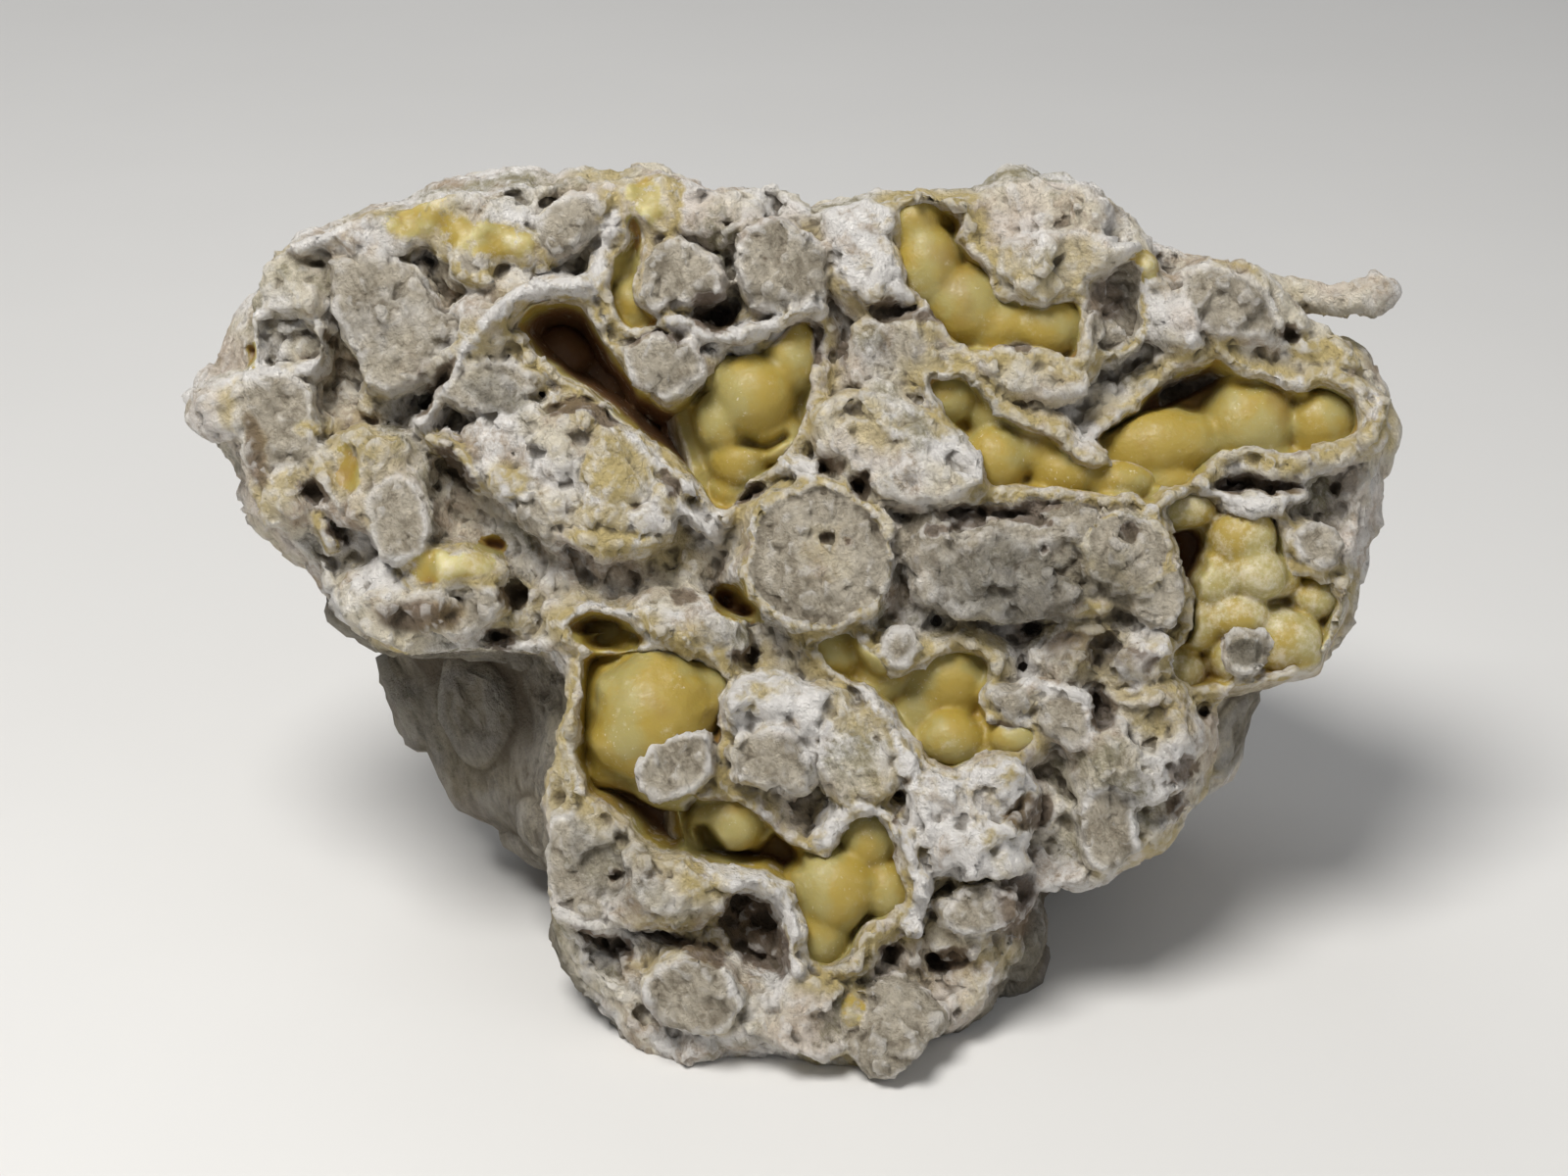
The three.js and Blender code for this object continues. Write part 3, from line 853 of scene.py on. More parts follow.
# Edge of the broken face, anticlockwise from the left tip
FACE_EDGE = Outline(middle=MIDDLE, corners=(-50.8, 15.8, -48.8, 13.2, -46.7, 10, -45, 5.8, -40, 2.1,
    -37.5, -2.7, -32.5, -5.6, -25, -5, -19.2, -5.4, -17.9, -9.5, -20, -16.5, -20.4, -25, -19, -29.5,
    -15, -34.2, -11.7, -39, -8.3, -40.3, -4.8, -38.8, 0, -38.6, 3.2, -40.2, 8.8, -41.8, 12.5, -38.3,
    16.7, -35.6, 19.6, -30.5, 21.5, -25.5, 26.5, -24.6, 31.7, -21.7, 35.2, -17, 36.9, -11.8, 38.8, -8.4,
    43.3, -7.6, 46.5, -5.6, 48, -1.5, 49.4, 4.5, 49.8, 8.2, 51.7, 12, 51.6, 16.8, 49.8, 20.2, 45, 23.5,
    40.5, 27.4, 36.5, 28.3, 31.7, 29.8, 27.5, 32.6, 23.5, 34.4, 18.3, 34.6, 15.8, 32.4, 11.7, 33.3,
    5.8, 32.6, 2.3, 31.7, -1, 34, -6, 33.7, -10.4, 35, -14, 34.4, -18, 34.4, -23.8, 34.4, -30, 33,
    -35.5, 31.6, -40.8, 29.8, -44.6, 27.6, -46.4, 22.5, -47.3, 18.2))

# Outline of the rear under its lumps, the same way round
REAR_EDGE = Outline(middle=MIDDLE, corners=(-38, 8, -36.5, 0, -36, -7, -33.5, -13, -29, -20, -21.5, -22.5,
    -14.5, -28.5, -7, -36, 4, -36.5, 14.5, -33.5, 24.5, -26.5, 33, -21, 38.5, -16, 39, -8, 44, 4, 44, 15,
    36.5, 22, 24, 25.5, 0, 25.5, -24, 23, -36, 21, -40, 16))

LEFT_TIP = Lump(-46.2, 15.4, 5.6, 3.2, -5.6, 4, turn=-6)

# Rounded masses
LUMPS = (
    LEFT_TIP,
    Lump(-42.6, 9.8, 4, 5, -4, 4, turn=20),
    Lump(-42, 26, 4.4, 4.2, -5.5, 5),  # left shoulder
    Lump(-35, 30.3, 6.5, 2.8, -4, 4.5, turn=12),  # ledge along the top left
    Lump(-26.5, 31.2, 6.5, 3, -3.5, 4.4, turn=-8),
    Lump(-15.2, 33.6, 2, 2.4, -2.5, 3),
    Lump(-5.5, 32, 5, 3, -2.6, 4.5),
    Lump(6.3, 28.2, 3.6, 5.2, -1.2, 4.2, turn=8),  # fibrous wall
    Lump(23, 30, 8.8, 5, -2.8, 5, turn=-8),  # lumpy mass at the top right
    Lump(32.6, 23.8, 2.6, 4, -2.6, 4, turn=30),
    Lump(38.4, 24.4, 5.4, 4.8, -4, 5),
    Lump(44.8, 20.8, 4.6, 3.4, -4.6, 4, turn=-20),  # cream slope
    Lump(44, 10.9, 6, 1.9, -3.6, 3.4, turn=12),  # lip of the right hollow
    Lump(-18.6, 9.6, 9.4, 5.4, -0.6, 4, turn=-28),  # left of centre
    Lump(-33.8, -1.8, 5.6, 4.4, -3.6, 4.6, turn=20),
    Lump(-35.5, 9.5, 5.4, 4.6, -2.2, 4.2),
    Lump(-25.6, 22, 3.4, 6.4, -1.4, 3.8, turn=-42),
    Lump(10, 11.4, 8.4, 4.6, 0.6, 4.2, turn=-22),  # tongue over the middle
    Lump(10, 20, 5.2, 4.2, -1.2, 4),
    Lump(22, 18.3, 4.4, 2.8, -1.4, 3.6, turn=10),  # fragment over the middle hollow
    Lump(21.6, 2.6, 12.4, 5, -0.8, 5, Tone.CORE, turn=-6),  # long lump
    Lump(26.5, -5.4, 6.2, 3.2, -1.6, 4),
    Lump(30, -13.2, 6.4, 5.6, -2.4, 5, turn=30),
    Lump(16, -19.2, 6.2, 5.4, -0.8, 4.8, Tone.WHITE, turn=30),
    Lump(-8.4, -3.6, 5.6, 3.6, -0.8, 3.4, turn=-20),
    Lump(0, -11, 6, 3.6, -0.4, 4, Tone.WHITE, turn=-15),
    Lump(6.4, -14, 4, 5, -0.6, 4.2),
    Lump(-17.2, -24.4, 4, 6.6, -2.6, 4.4, turn=8),
    Lump(-10.4, -25.2, 6.4, 4.2, -1, 4.4),
    Lump(-3, -36, 3.4, 3.4, -2, 4),
    Lump(2.2, -36.4, 4, 4.2, -1.4, 4.6),
    Lump(9.4, -37.6, 4.6, 4.4, -1.2, 5, Tone.CORE),  # bottom tip
    Lump(-29.6, 31.4, 5, 2.2, -2.4, 3.4, Tone.CREAM, turn=14),  # honey along the top left
    Lump(-25, 29.4, 6, 2.6, -1.9, 3.2, Tone.CREAM, turn=-10),
    Lump(-28.4, 1.6, 5, 2.4, -1.2, 3.2, Tone.CREAM, turn=4),  # honey cap
    Lump(-34.6, -4.2, 3, 1.5, -3.4, 3.4, Tone.HONEY, turn=-35),
    Lump(-10.4, 32.4, 2.8, 2.6, -2, 3.6, Tone.CREAM),
    Lump(6.2, -35.8, 2, 2, -0.2, 3.2, Tone.CREAM),
    Lump(30.4, 27.4, 1.6, 1.5, -0.6, 2.6, Tone.HONEY),
)

# Masses broken off nearly level
PLATES = (
    # big fibrous core
    Plate((-39, 28.2, -35, 28.8, -31.2, 27.7, -29.8, 25, -27.3, 22.3, -27.7, 20.7, -30.2, 19, -31.3, 17,
        -33.3, 16.3, -35.5, 17.2, -37.3, 20.8, -38.3, 24.2), 0.2, (-0.03, 0.05), Tone.CORE, rim=0.2),
    # core of the left tip
    Plate((-47, 17.3, -44.8, 18.3, -42.3, 18.5, -40.5, 17.2, -39.8, 14.2, -39.3, 11.7, -41, 10.3, -43.3, 9.8,
        -45.5, 11, -47.2, 13.7), -1.6, (0.04, 0), Tone.CORE, rim=0.3),
    # core at the top left
    Plate((-21, 31, -20, 32.8, -17.8, 34, -16, 33.5, -15.1, 32.2, -15.8, 30.2, -17.2, 28.8, -19.3, 28.2,
        -20.8, 29.2), 0.8, (0, 0.12), Tone.CORE, rim=0.5, rough=0.4),
    # core over the arch
    Plate((-29, 17.3, -27.3, 18.5, -24.8, 19.4, -22.3, 19.2, -20, 17.8, -21, 16.2, -22.7, 15.2, -24.8, 14.5,
        -27.2, 15, -29, 16), 1, tone=Tone.CORE, rim=0.1, rough=0.6),
    # core on the left
    Plate((-35.7, 6.7, -34.7, 8.6, -32.9, 9.5, -31.1, 9, -30, 7.3, -29.8, 4.8, -30.5, 2.8, -32.3, 1.8,
        -34.3, 2.2, -35.5, 4.2), 1.9, (0.1, -0.12), Tone.CORE, rim=0.45),
    # broken core under the cap
    Plate((-32.3, -1.2, -31, -0.2, -28.2, 0, -25, 0.2, -23.7, -0.6, -24.1, -2.7, -26, -4, -28.8, -4.3,
        -31, -3.7), 0.6, (0, 0.25), Tone.CORE, rim=0.1, rough=1.3),
    # log
    Plate((10.2, 2.3, 11.2, 4.6, 13.5, 5.8, 16.8, 6.4, 19.3, 4.9, 21.8, 4.5, 25.2, 5.8, 29.2, 5.8, 32, 5.2,
        33.3, 3.2, 33.8, 0, 32.8, -3.3, 30.7, -3.3, 28.2, -1.7, 25, -1, 21.7, -2.2, 18.2, -2.7, 14, -2.3,
        11, -0.8), 2.6, (-0.03, 0.06), Tone.CORE, rough=0.8),
    # tongue
    Plate((1.8, 14.7, 3.5, 16.2, 6.7, 16.7, 9.7, 15.8, 12.5, 14.2, 15.7, 13.2, 17.3, 10.8, 17, 9, 15.3, 7.7,
        13, 7, 10.7, 6.8, 8.7, 7.9, 7.8, 9.8, 5.7, 10.8, 3, 11.3), 3.4, (0.06, -0.12), rim=0.2, rough=0.6),
    # tip of the tongue
    Plate((12, 12.8, 14, 13.3, 15.8, 13, 17.5, 10.8, 17.1, 9, 15.5, 9, 13.8, 10.2, 12.3, 11.2),
        3.7, tone=Tone.WHITE, rough=0.6),
    # mass at the top right
    Plate((18, 29, 20.8, 30.2, 25, 30, 29.2, 29.5, 30.8, 29, 29.2, 28, 27, 26.5, 24.8, 25.2, 21.8, 24.2,
        20, 25.2, 18.7, 25, 17.8, 26.7), 2.4, (-0.05, 0.1), rim=0.2, rough=0.8),
    # concretion on the shoulder
    Plate((33.8, 27.3, 36.3, 28.2, 38.8, 27, 41, 25, 42.4, 22.3, 42, 20.5, 39.8, 20.8, 36.7, 21.3,
        34.5, 22.7, 33.6, 25), 0.8, (-0.08, 0), Tone.CORE, rim=0.2, rough=0.8),
    # fragment
    Plate((15.5, 19.5, 18, 20.8, 21.7, 20.6, 24.3, 19.2, 25.8, 17.8, 25.3, 16.5, 23.7, 16.2, 20.8, 16.7,
        17.8, 17), 1.6, (0, -0.1), rim=0.3, rough=0.7),
    # mass left of the middle
    Plate((-26.2, 14, -24, 15, -20, 16.2, -16.5, 15.5, -13.2, 12.8, -9.8, 9.8, -8.7, 7.3, -9.3, 4.8,
        -12.5, 4, -16.7, 4.5, -20.3, 6.7, -23.7, 8.3, -25.8, 10.8), 2.2, (0.02, -0.04), rim=0.1, rough=0.9),
    # yellow plate
    Plate((-17.5, 10.7, -16.7, 12.5, -14.8, 13.3, -13.2, 11.5, -12.1, 9, -12.7, 7.5, -15.7, 7.3, -17.5, 8.5),
        3.7, (0.05, 0.1), Tone.CREAM, rough=0.25),
    # grey flake beside it
    Plate((-20, 14.6, -18.4, 14.4, -17.6, 11, -18, 9.4, -19.4, 9, -20.6, 12), 3.3, (0.15, 0), rough=0.3),
    # grey flake
    Plate((-22.6, 7.4, -20.8, 7.6, -19.2, 4.8, -20, 3.6, -22.2, 5), 2.4, (0.1, 0.1), Tone.CORE, rough=0.3),
    # white flake
    Plate((-13.4, 6.8, -11.2, 7.6, -9.4, 6.2, -10.4, 4.8, -13.2, 5),
        2.8, (-0.1, 0.1), Tone.WHITE, rough=0.4),
    # small yellow plate
    Plate((-25.3, 10.2, -23.2, 10.5, -21.2, 9.5, -21.7, 8, -23.7, 7.5, -25, 8.3),
        3, tone=Tone.CREAM, rough=0.3),
    # smooth plate
    Plate((-18.7, 4.5, -16.5, 5.4, -12.5, 5.2, -9.2, 4.3, -11.3, 3, -14.8, 2.5, -17.5, 3.2),
        2.4, (0, 0.15), Tone.CREAM, rough=0.2),
    # flat core under the cap row
    Plate((-5, -14, -4, -12.2, -1.5, -11.5, 1, -12.2, 2.7, -14.3, 2.8, -16.8, 1.7, -18.2, -0.2, -17.8,
        -2.3, -17, -4.2, -16.2), 3, (0, 0.12), Tone.CORE, rim=0.3),
    # white cap
    Plate((-5, -8.5, -2.5, -7.5, 1, -8, 4.3, -8.8, 3.8, -10.5, 2.2, -12, 0, -11.3, -2.5, -11.5, -4.7, -10.8),
        3.4, (0, -0.1), Tone.WHITE, rough=0.6),
    # pink slope
    Plate((4.2, -8.8, 6.8, -10, 8.8, -13.3, 10.2, -16.7, 8.3, -17.7, 5.7, -17.9, 4, -16.3, 3, -13.3,
        2.5, -11.5), 2.4, (-0.1, 0), rough=0.4),
    # petal plate
    Plate((21, -9.3, 23, -8.3, 25.2, -8.8, 26.3, -10.2, 26.2, -12.5, 24.5, -13.5, 22.5, -12.9, 21.2, -11.2),
        1.6, (0.1, 0), Tone.CORE, rim=0.3, rough=0.3),
    # grey fragment by the middle hollow
    Plate((17, -8.7, 18.5, -7.8, 20.5, -8.3, 20.8, -10.2, 19.2, -11.5, 17.5, -10.8),
        1.4, tone=Tone.CORE, rim=0.2),
    # white patch
    Plate((10.8, -16, 13.5, -15, 16.8, -14.6, 20, -14.2, 21, -15.8, 19.2, -17.7, 18.3, -20, 20, -22.3,
        20.7, -24.2, 18.2, -25, 15.3, -24.2, 12.5, -23.3, 11.2, -20.8),
        2.6, (0.04, 0.05), Tone.WHITE, rough=0.8),
    # plate at the lower right
    Plate((25, -19.2, 26.3, -17.2, 28.3, -16.7, 30.2, -18, 30.5, -21, 30, -23.5, 27.8, -25, 26, -23.3,
        25, -21.3), -0.8, (-0.1, 0.1), Tone.CORE, rim=0.4, rough=0.3),
    # core at the lower right
    Plate((12.9, -26.8, 15.2, -25.4, 18, -25, 20, -26.2, 20.2, -28, 18.3, -29.2, 15.4, -29.7, 13.3, -28.8),
        1, (0, 0.15), Tone.CORE, rim=0.3),
    # core at the bottom
    Plate((-11.5, -33.5, -10.3, -31.8, -8.2, -30.8, -5.7, -31.3, -4, -33, -3.5, -35.2, -4.2, -37,
        -6.3, -37.9, -8.5, -37.5, -10.2, -36.7, -11.3, -35), 2.4, (0.05, 0.08), Tone.CORE, rim=0.7),
    # plate at the bottom left
    Plate((-20, -19.3, -17.3, -19.3, -15.7, -21, -13.7, -23, -13.3, -25, -15.2, -26, -14.8, -28.3,
        -16.7, -28.5, -19.2, -27.5, -20.3, -25, -20.6, -21.8), -0.2, (0.06, 0.05), Tone.CORE, rim=0.2),
    # shell by the lower pits
    Plate((28.3, -10.5, 30.2, -9.7, 32.5, -10.5, 33.4, -12.2, 32.9, -13.6, 30.8, -14.1, 28.8, -13),
        0.2, (0, 0.1), rim=0.3, rough=0.4),
    # ledge at the top left
    Plate((-42.5, 29, -41.7, 30, -37.5, 31.3, -33.3, 31.7, -31.3, 30.3, -30, 29, -33.3, 28.5, -37.5, 28.7,
        -40.2, 28.2), 0.6, (0, 0.15), Tone.WHITE, rough=0.4),
    # fibrous wall
    Plate((3.5, 32, 6.7, 32.7, 9.5, 32.2, 9.7, 29.2, 10.5, 26.2, 12.3, 24, 10, 24, 7, 23.8, 5.5, 25,
        3.8, 26.7, 3.5, 29.5), 2.6, (0, -0.08), Tone.WHITE),
    # rough stretch
    Plate((5.5, 22.5, 8.3, 23.8, 11.3, 23.5, 13, 21.2, 13.7, 19.3, 12.5, 17.3, 10, 17, 7.5, 17.5, 6, 19.5),
        1.2, (0, 0.05), rough=0.9),
    # cream slope
    Plate((43.2, 21.7, 45.5, 22.5, 48, 22, 49.8, 20, 50.5, 18.3, 48, 18.7, 45.5, 19, 43.5, 19.5),
        -1.4, (-0.1, 0), Tone.CREAM, rough=0.4),
    # rock below the log
    Plate((25.8, -4.6, 27.5, -3.7, 31.7, -3.3, 33.3, -5.4, 33, -7.5, 30, -8.3, 27, -7.5),
        0.6, (0, 0.1), rough=1.4),
)

# The same, in and beside the lined hollows
STANDING = (
    # bottom of the square pit
    Plate((-44.8, 23.2, -41.5, 23.8, -40, 22.8, -39.8, 19.9, -41.8, 19.6, -44.7, 19.8),
        -3.9, (0, -0.15), rough=0.8),
    # core left of the middle hollows
    Plate((-12, 27.8, -11, 29.2, -9.2, 30, -7.3, 29.4, -6.5, 28.6, -5.3, 28.1, -4.8, 26.2, -5.4, 24.6,
        -7.2, 23.8, -9.2, 23.7, -11, 23.5, -12.1, 24.7), 2.4, tone=Tone.CORE, rim=0.5),
    # core right of it
    Plate((-4.6, 28.7, -3.2, 30.6, -0.8, 31.4, 1.5, 30.8, 3.2, 29.2, 3.5, 26.7, 3.2, 24.6, 1.7, 23.7,
        -0.4, 22.9, -2.3, 23.2, -3.7, 25), 3.2, (0, 0.1), Tone.CORE, rim=0.2, rough=0.7),
    # core over the cave
    Plate((-14, 20.5, -12.5, 21.2, -10, 21.2, -7.9, 20.7, -6.5, 19.5, -6.7, 17.8, -8, 16.5, -10, 15.8,
        -12.1, 16.5, -13.3, 18.3), 2.6, (0, 0.06), Tone.CORE, rim=0.5),
    # core that tops the bulbs
    Plate((-12.5, -14.3, -11.2, -12.4, -9.2, -11.6, -6.7, -11.9, -5.7, -13.8, -5.8, -15.8, -7.3, -17.3,
        -9.2, -18.2, -11, -18.8, -12.2, -17.2), 3.6, (0, -0.06), Tone.CORE, rim=0.6),
    # core in the corner hollow
    Plate((43.5, 4.6, 45, 5.7, 47.2, 5.3, 48.2, 3.7, 47.7, 2, 45.8, 1.3, 44, 2.3),
        -0.6, (-0.05, 0), Tone.CORE, rim=0.5, rough=0.4),
    # grey core at the foot of the corner hollow
    Plate((37.3, -3.8, 39.3, -2.8, 41.7, -3.3, 42.7, -5, 41.5, -7.2, 39, -7.7, 37.3, -6.2),
        -2.2, (-0.05, 0.05), Tone.CORE, rim=0.3, rough=1.3),
    # white core under the lens
    Plate((36.7, 7.8, 38.5, 8.5, 41, 8.3, 43.1, 7.8, 42.7, 6.3, 40.4, 5.8, 37.8, 6.1),
        -0.2, tone=Tone.WHITE),
    # grey tip of the bulb in the middle
    Plate((8.3, -4.2, 9.5, -3.3, 10.8, -3.8, 11.5, -5.2, 10.7, -6.7, 9.2, -6.8, 8.3, -5.7),
        1.9, (0.05, 0), Tone.CORE, rim=0.2, rough=0.3),
)

# Concretions broken straight across
CORES = (
    Core(2.9, 2.5, 6, 5.7, 0, 2.9, rim=0.55, rings=4),
    Core(27.9, 22.8, 2.3, 2.3, -3.2, 2.4, rim=0.3),
    Core(29, 3.2, 3.4, 2.8, 0.6, 2.3, rim=0.2, rings=2, turn=-10),
    Core(-26.2, 27.9, 1.2, 1.1, 0, 1.4, rim=0.4, rings=0.5),
    Core(44.4, -3.8, 1.6, 1.3, -1.4, 1, rim=0.3, rings=1),
)

# Thin walls and rims
WALLS = (
    Wall(0.6, ((-50.6, 15.8, -3.4), (-47, 17.9, -2.4), (-41, 18.9, -1.6))),  # rim of the left tip
    Wall(0.45, ((-45.2, 19.6, -2.2), (-45, 23.2, -2.4), (-42.6, 23.8, -2), (-40, 22.8, -1.8))),
    Wall(0.45, ((-40.2, 22.9, -1.6), (-39.8, 20, -1.4), (-40.8, 18.8, -1.6))),
    Wall(0.7, ((-42.5, 29, -3.2), (-37.4, 31, -1.8), (-32, 29.4, -0.6))),  # white ledge
    # arch over the cave
    Wall(0.7, ((-30.8, 14.2, 1), (-29.4, 17.2, 1.6), (-25.8, 21.2, 2.2), (-23.2, 24.2, 2.2), (-20, 25.7, 2),
        (-16.6, 25.8, 1.4))),
    Wall(0.45, ((-19.4, 16.4, 1), (-15, 14, 2), (-10.2, 10, 2), (-5, 5.8, 1.4))),
    Wall(0.4, ((-20.2, 15.2, 1), (-15.8, 12.8, 1.9), (-11, 8.8, 1.9), (-6.2, 4.6, 1.2))),
    # cream ridge
    Wall(0.6, ((-9.2, 22.4, 1.8), (-6.6, 21.2, 2.4), (-3.4, 20.8, 2.8), (-0.8, 21.8, 2.6),
        (2.4, 23.4, 2.4))),
    Wall(0.6, ((-13.4, 33.8, 0), (-14.6, 30.8, 0.6), (-15.6, 27.4, 0.8), (-16, 25.6, 1))),
    Wall(0.5, ((25.4, 25.2, 0.6), (25.6, 20, 0.6))),
    Wall(0.7, ((30.4, 25.8, 0), (32.6, 23.4, 0.6), (34.8, 20.8, 0.2))),
    Wall(0.8, ((41.6, 12, -0.8), (45.8, 12.6, -1.2), (50, 13.4, -2.6))),  # lip of the right hollow
    Wall(0.6, ((36, 8, -0.4), (40.2, 7.6, -0.6), (44.2, 8.2, -1.2))),
    Wall(0.5, ((-5.2, 6.6, 2), (-4.6, 9.8, 2.2), (-1.2, 10.8, 2.2), (2.6, 10.2, 2.4))),
    Wall(0.6, ((4.4, -5.8, 1.6), (6.7, -8.3, 2.2), (9.6, -12.1, 2.6), (10.8, -15.8, 2.6),
        (12.5, -20.8, 2.6))),
    Wall(0.6, ((-18.8, -3.2, 0.4), (-16.4, -1.9, 1.4), (-13.2, -2.4, 1.8), (-11.2, -5, 2))),
    Wall(0.6, ((3.4, -21.6, 1.8), (6.6, -18.4, 2.6), (10, -20.8, 2.6), (12.1, -26.6, 1.8),
        (10.8, -28.4, 1))),
    # crescent shell
    Wall(1, ((-6.4, -24.2, 1.2), (-3.2, -24.2, 2.4), (-0.8, -25.8, 2.8), (1.2, -29.2, 2.4),
        (1.2, -32.2, 1.4))),
    Wall(0.5, ((20.8, -8.4, 1), (23.6, -8.8, 2), (25.9, -9.8, 1.8), (26, -13, 1.2))),
    Wall(0.5, ((-29.8, 12.8, 1.6), (-27.2, 11.2, 2), (-26.4, 9.2, 1.8)), tone=Tone.CREAM),
    Wall(0.4, ((-41.8, 7, -2.4), (-39.8, 5.8, -1.8), (-38.7, 3.2, -2.2)), tone=Tone.CREAM),
    Wall(0.5, ((-37.3, -1.2, -2.8), (-36, -3.6, -2.8), (-33, -5.6, -3.2)), tone=Tone.CREAM),
)

# Stretches made of something else
PATCHES = (
    Patch(6, -35.4, 1.6, 1.6, Tone.HONEY),
    Patch(-37.3, 10.2, 1.5, 3, Tone.HONEY, turn=10),
    Patch(-28.4, 1.9, 5, 1.8, Tone.HONEY, turn=6),
    Patch(-40.4, 13.6, 2, 1.2, Tone.CREAM),
    Patch(20.5, 0.2, 13.5, 5, Tone.WEATHERED, share=0.7, turn=-4),  # dark stretches
    Patch(-14.5, -23.5, 7.5, 4.6, Tone.WEATHERED, share=0.5, turn=-20),
    Patch(-33, 22, 5.5, 6, Tone.WEATHERED, share=0.35),
    Patch(26, -6.4, 7, 2.4, Tone.WEATHERED, share=0.5),
    Patch(9.6, 20.4, 5, 3.6, Tone.WEATHERED, share=0.4),
    Patch(30, -14, 5, 5, Tone.WEATHERED, share=0.35),
    Patch(3.4, 3, 3.6, 3.4, Tone.CREAM, share=0.5),
    Patch(-31, 31.4, 5, 2.2, Tone.HONEY, share=0.8, turn=14),
    Patch(-25.4, 29.7, 6.4, 2.2, Tone.HONEY, share=0.8, turn=-10),
    Patch(-11.6, 32.6, 2.2, 3, Tone.HONEY, share=0.8),
    Patch(-24.6, 16.6, 4.4, 2.2, Tone.WEATHERED, share=0.6, turn=-10),
    Patch(-31, -2.2, 4, 2, Tone.STAIN),
    Patch(39.6, -5.6, 2, 1.6, Tone.WEATHERED),
    Patch(27.6, 24.6, 2.2, 3, Tone.STAIN),
    Patch(-45, 12, 1.2, 4.5, Tone.STAIN, turn=12),
    Patch(-15.8, 10.6, 1.6, 2.2, Tone.CREAM, turn=-30),
    Patch(-23.8, 9.2, 2.1, 2.1, Tone.CREAM),
    Patch(-5, 20, 3, 1, Tone.WHITE),
    Patch(15.4, 11.6, 1.6, 2.2, Tone.WHITE),
    Patch(25.8, 13.3, 1.5, 1.5, Tone.WHITE),
    Patch(-6.5, -10, 1.8, 1.8, Tone.WHITE),
    Patch(25.8, -1.6, 2, 1, Tone.CREAM),
    Patch(20, -27.5, 3, 4, Tone.STAIN),
    # dark brown under the overhanging upper lip of the right hollow: painted shade and brown staining
    Patch(38, 16.6, 6, 2, Tone.STAIN, turn=-8),
)

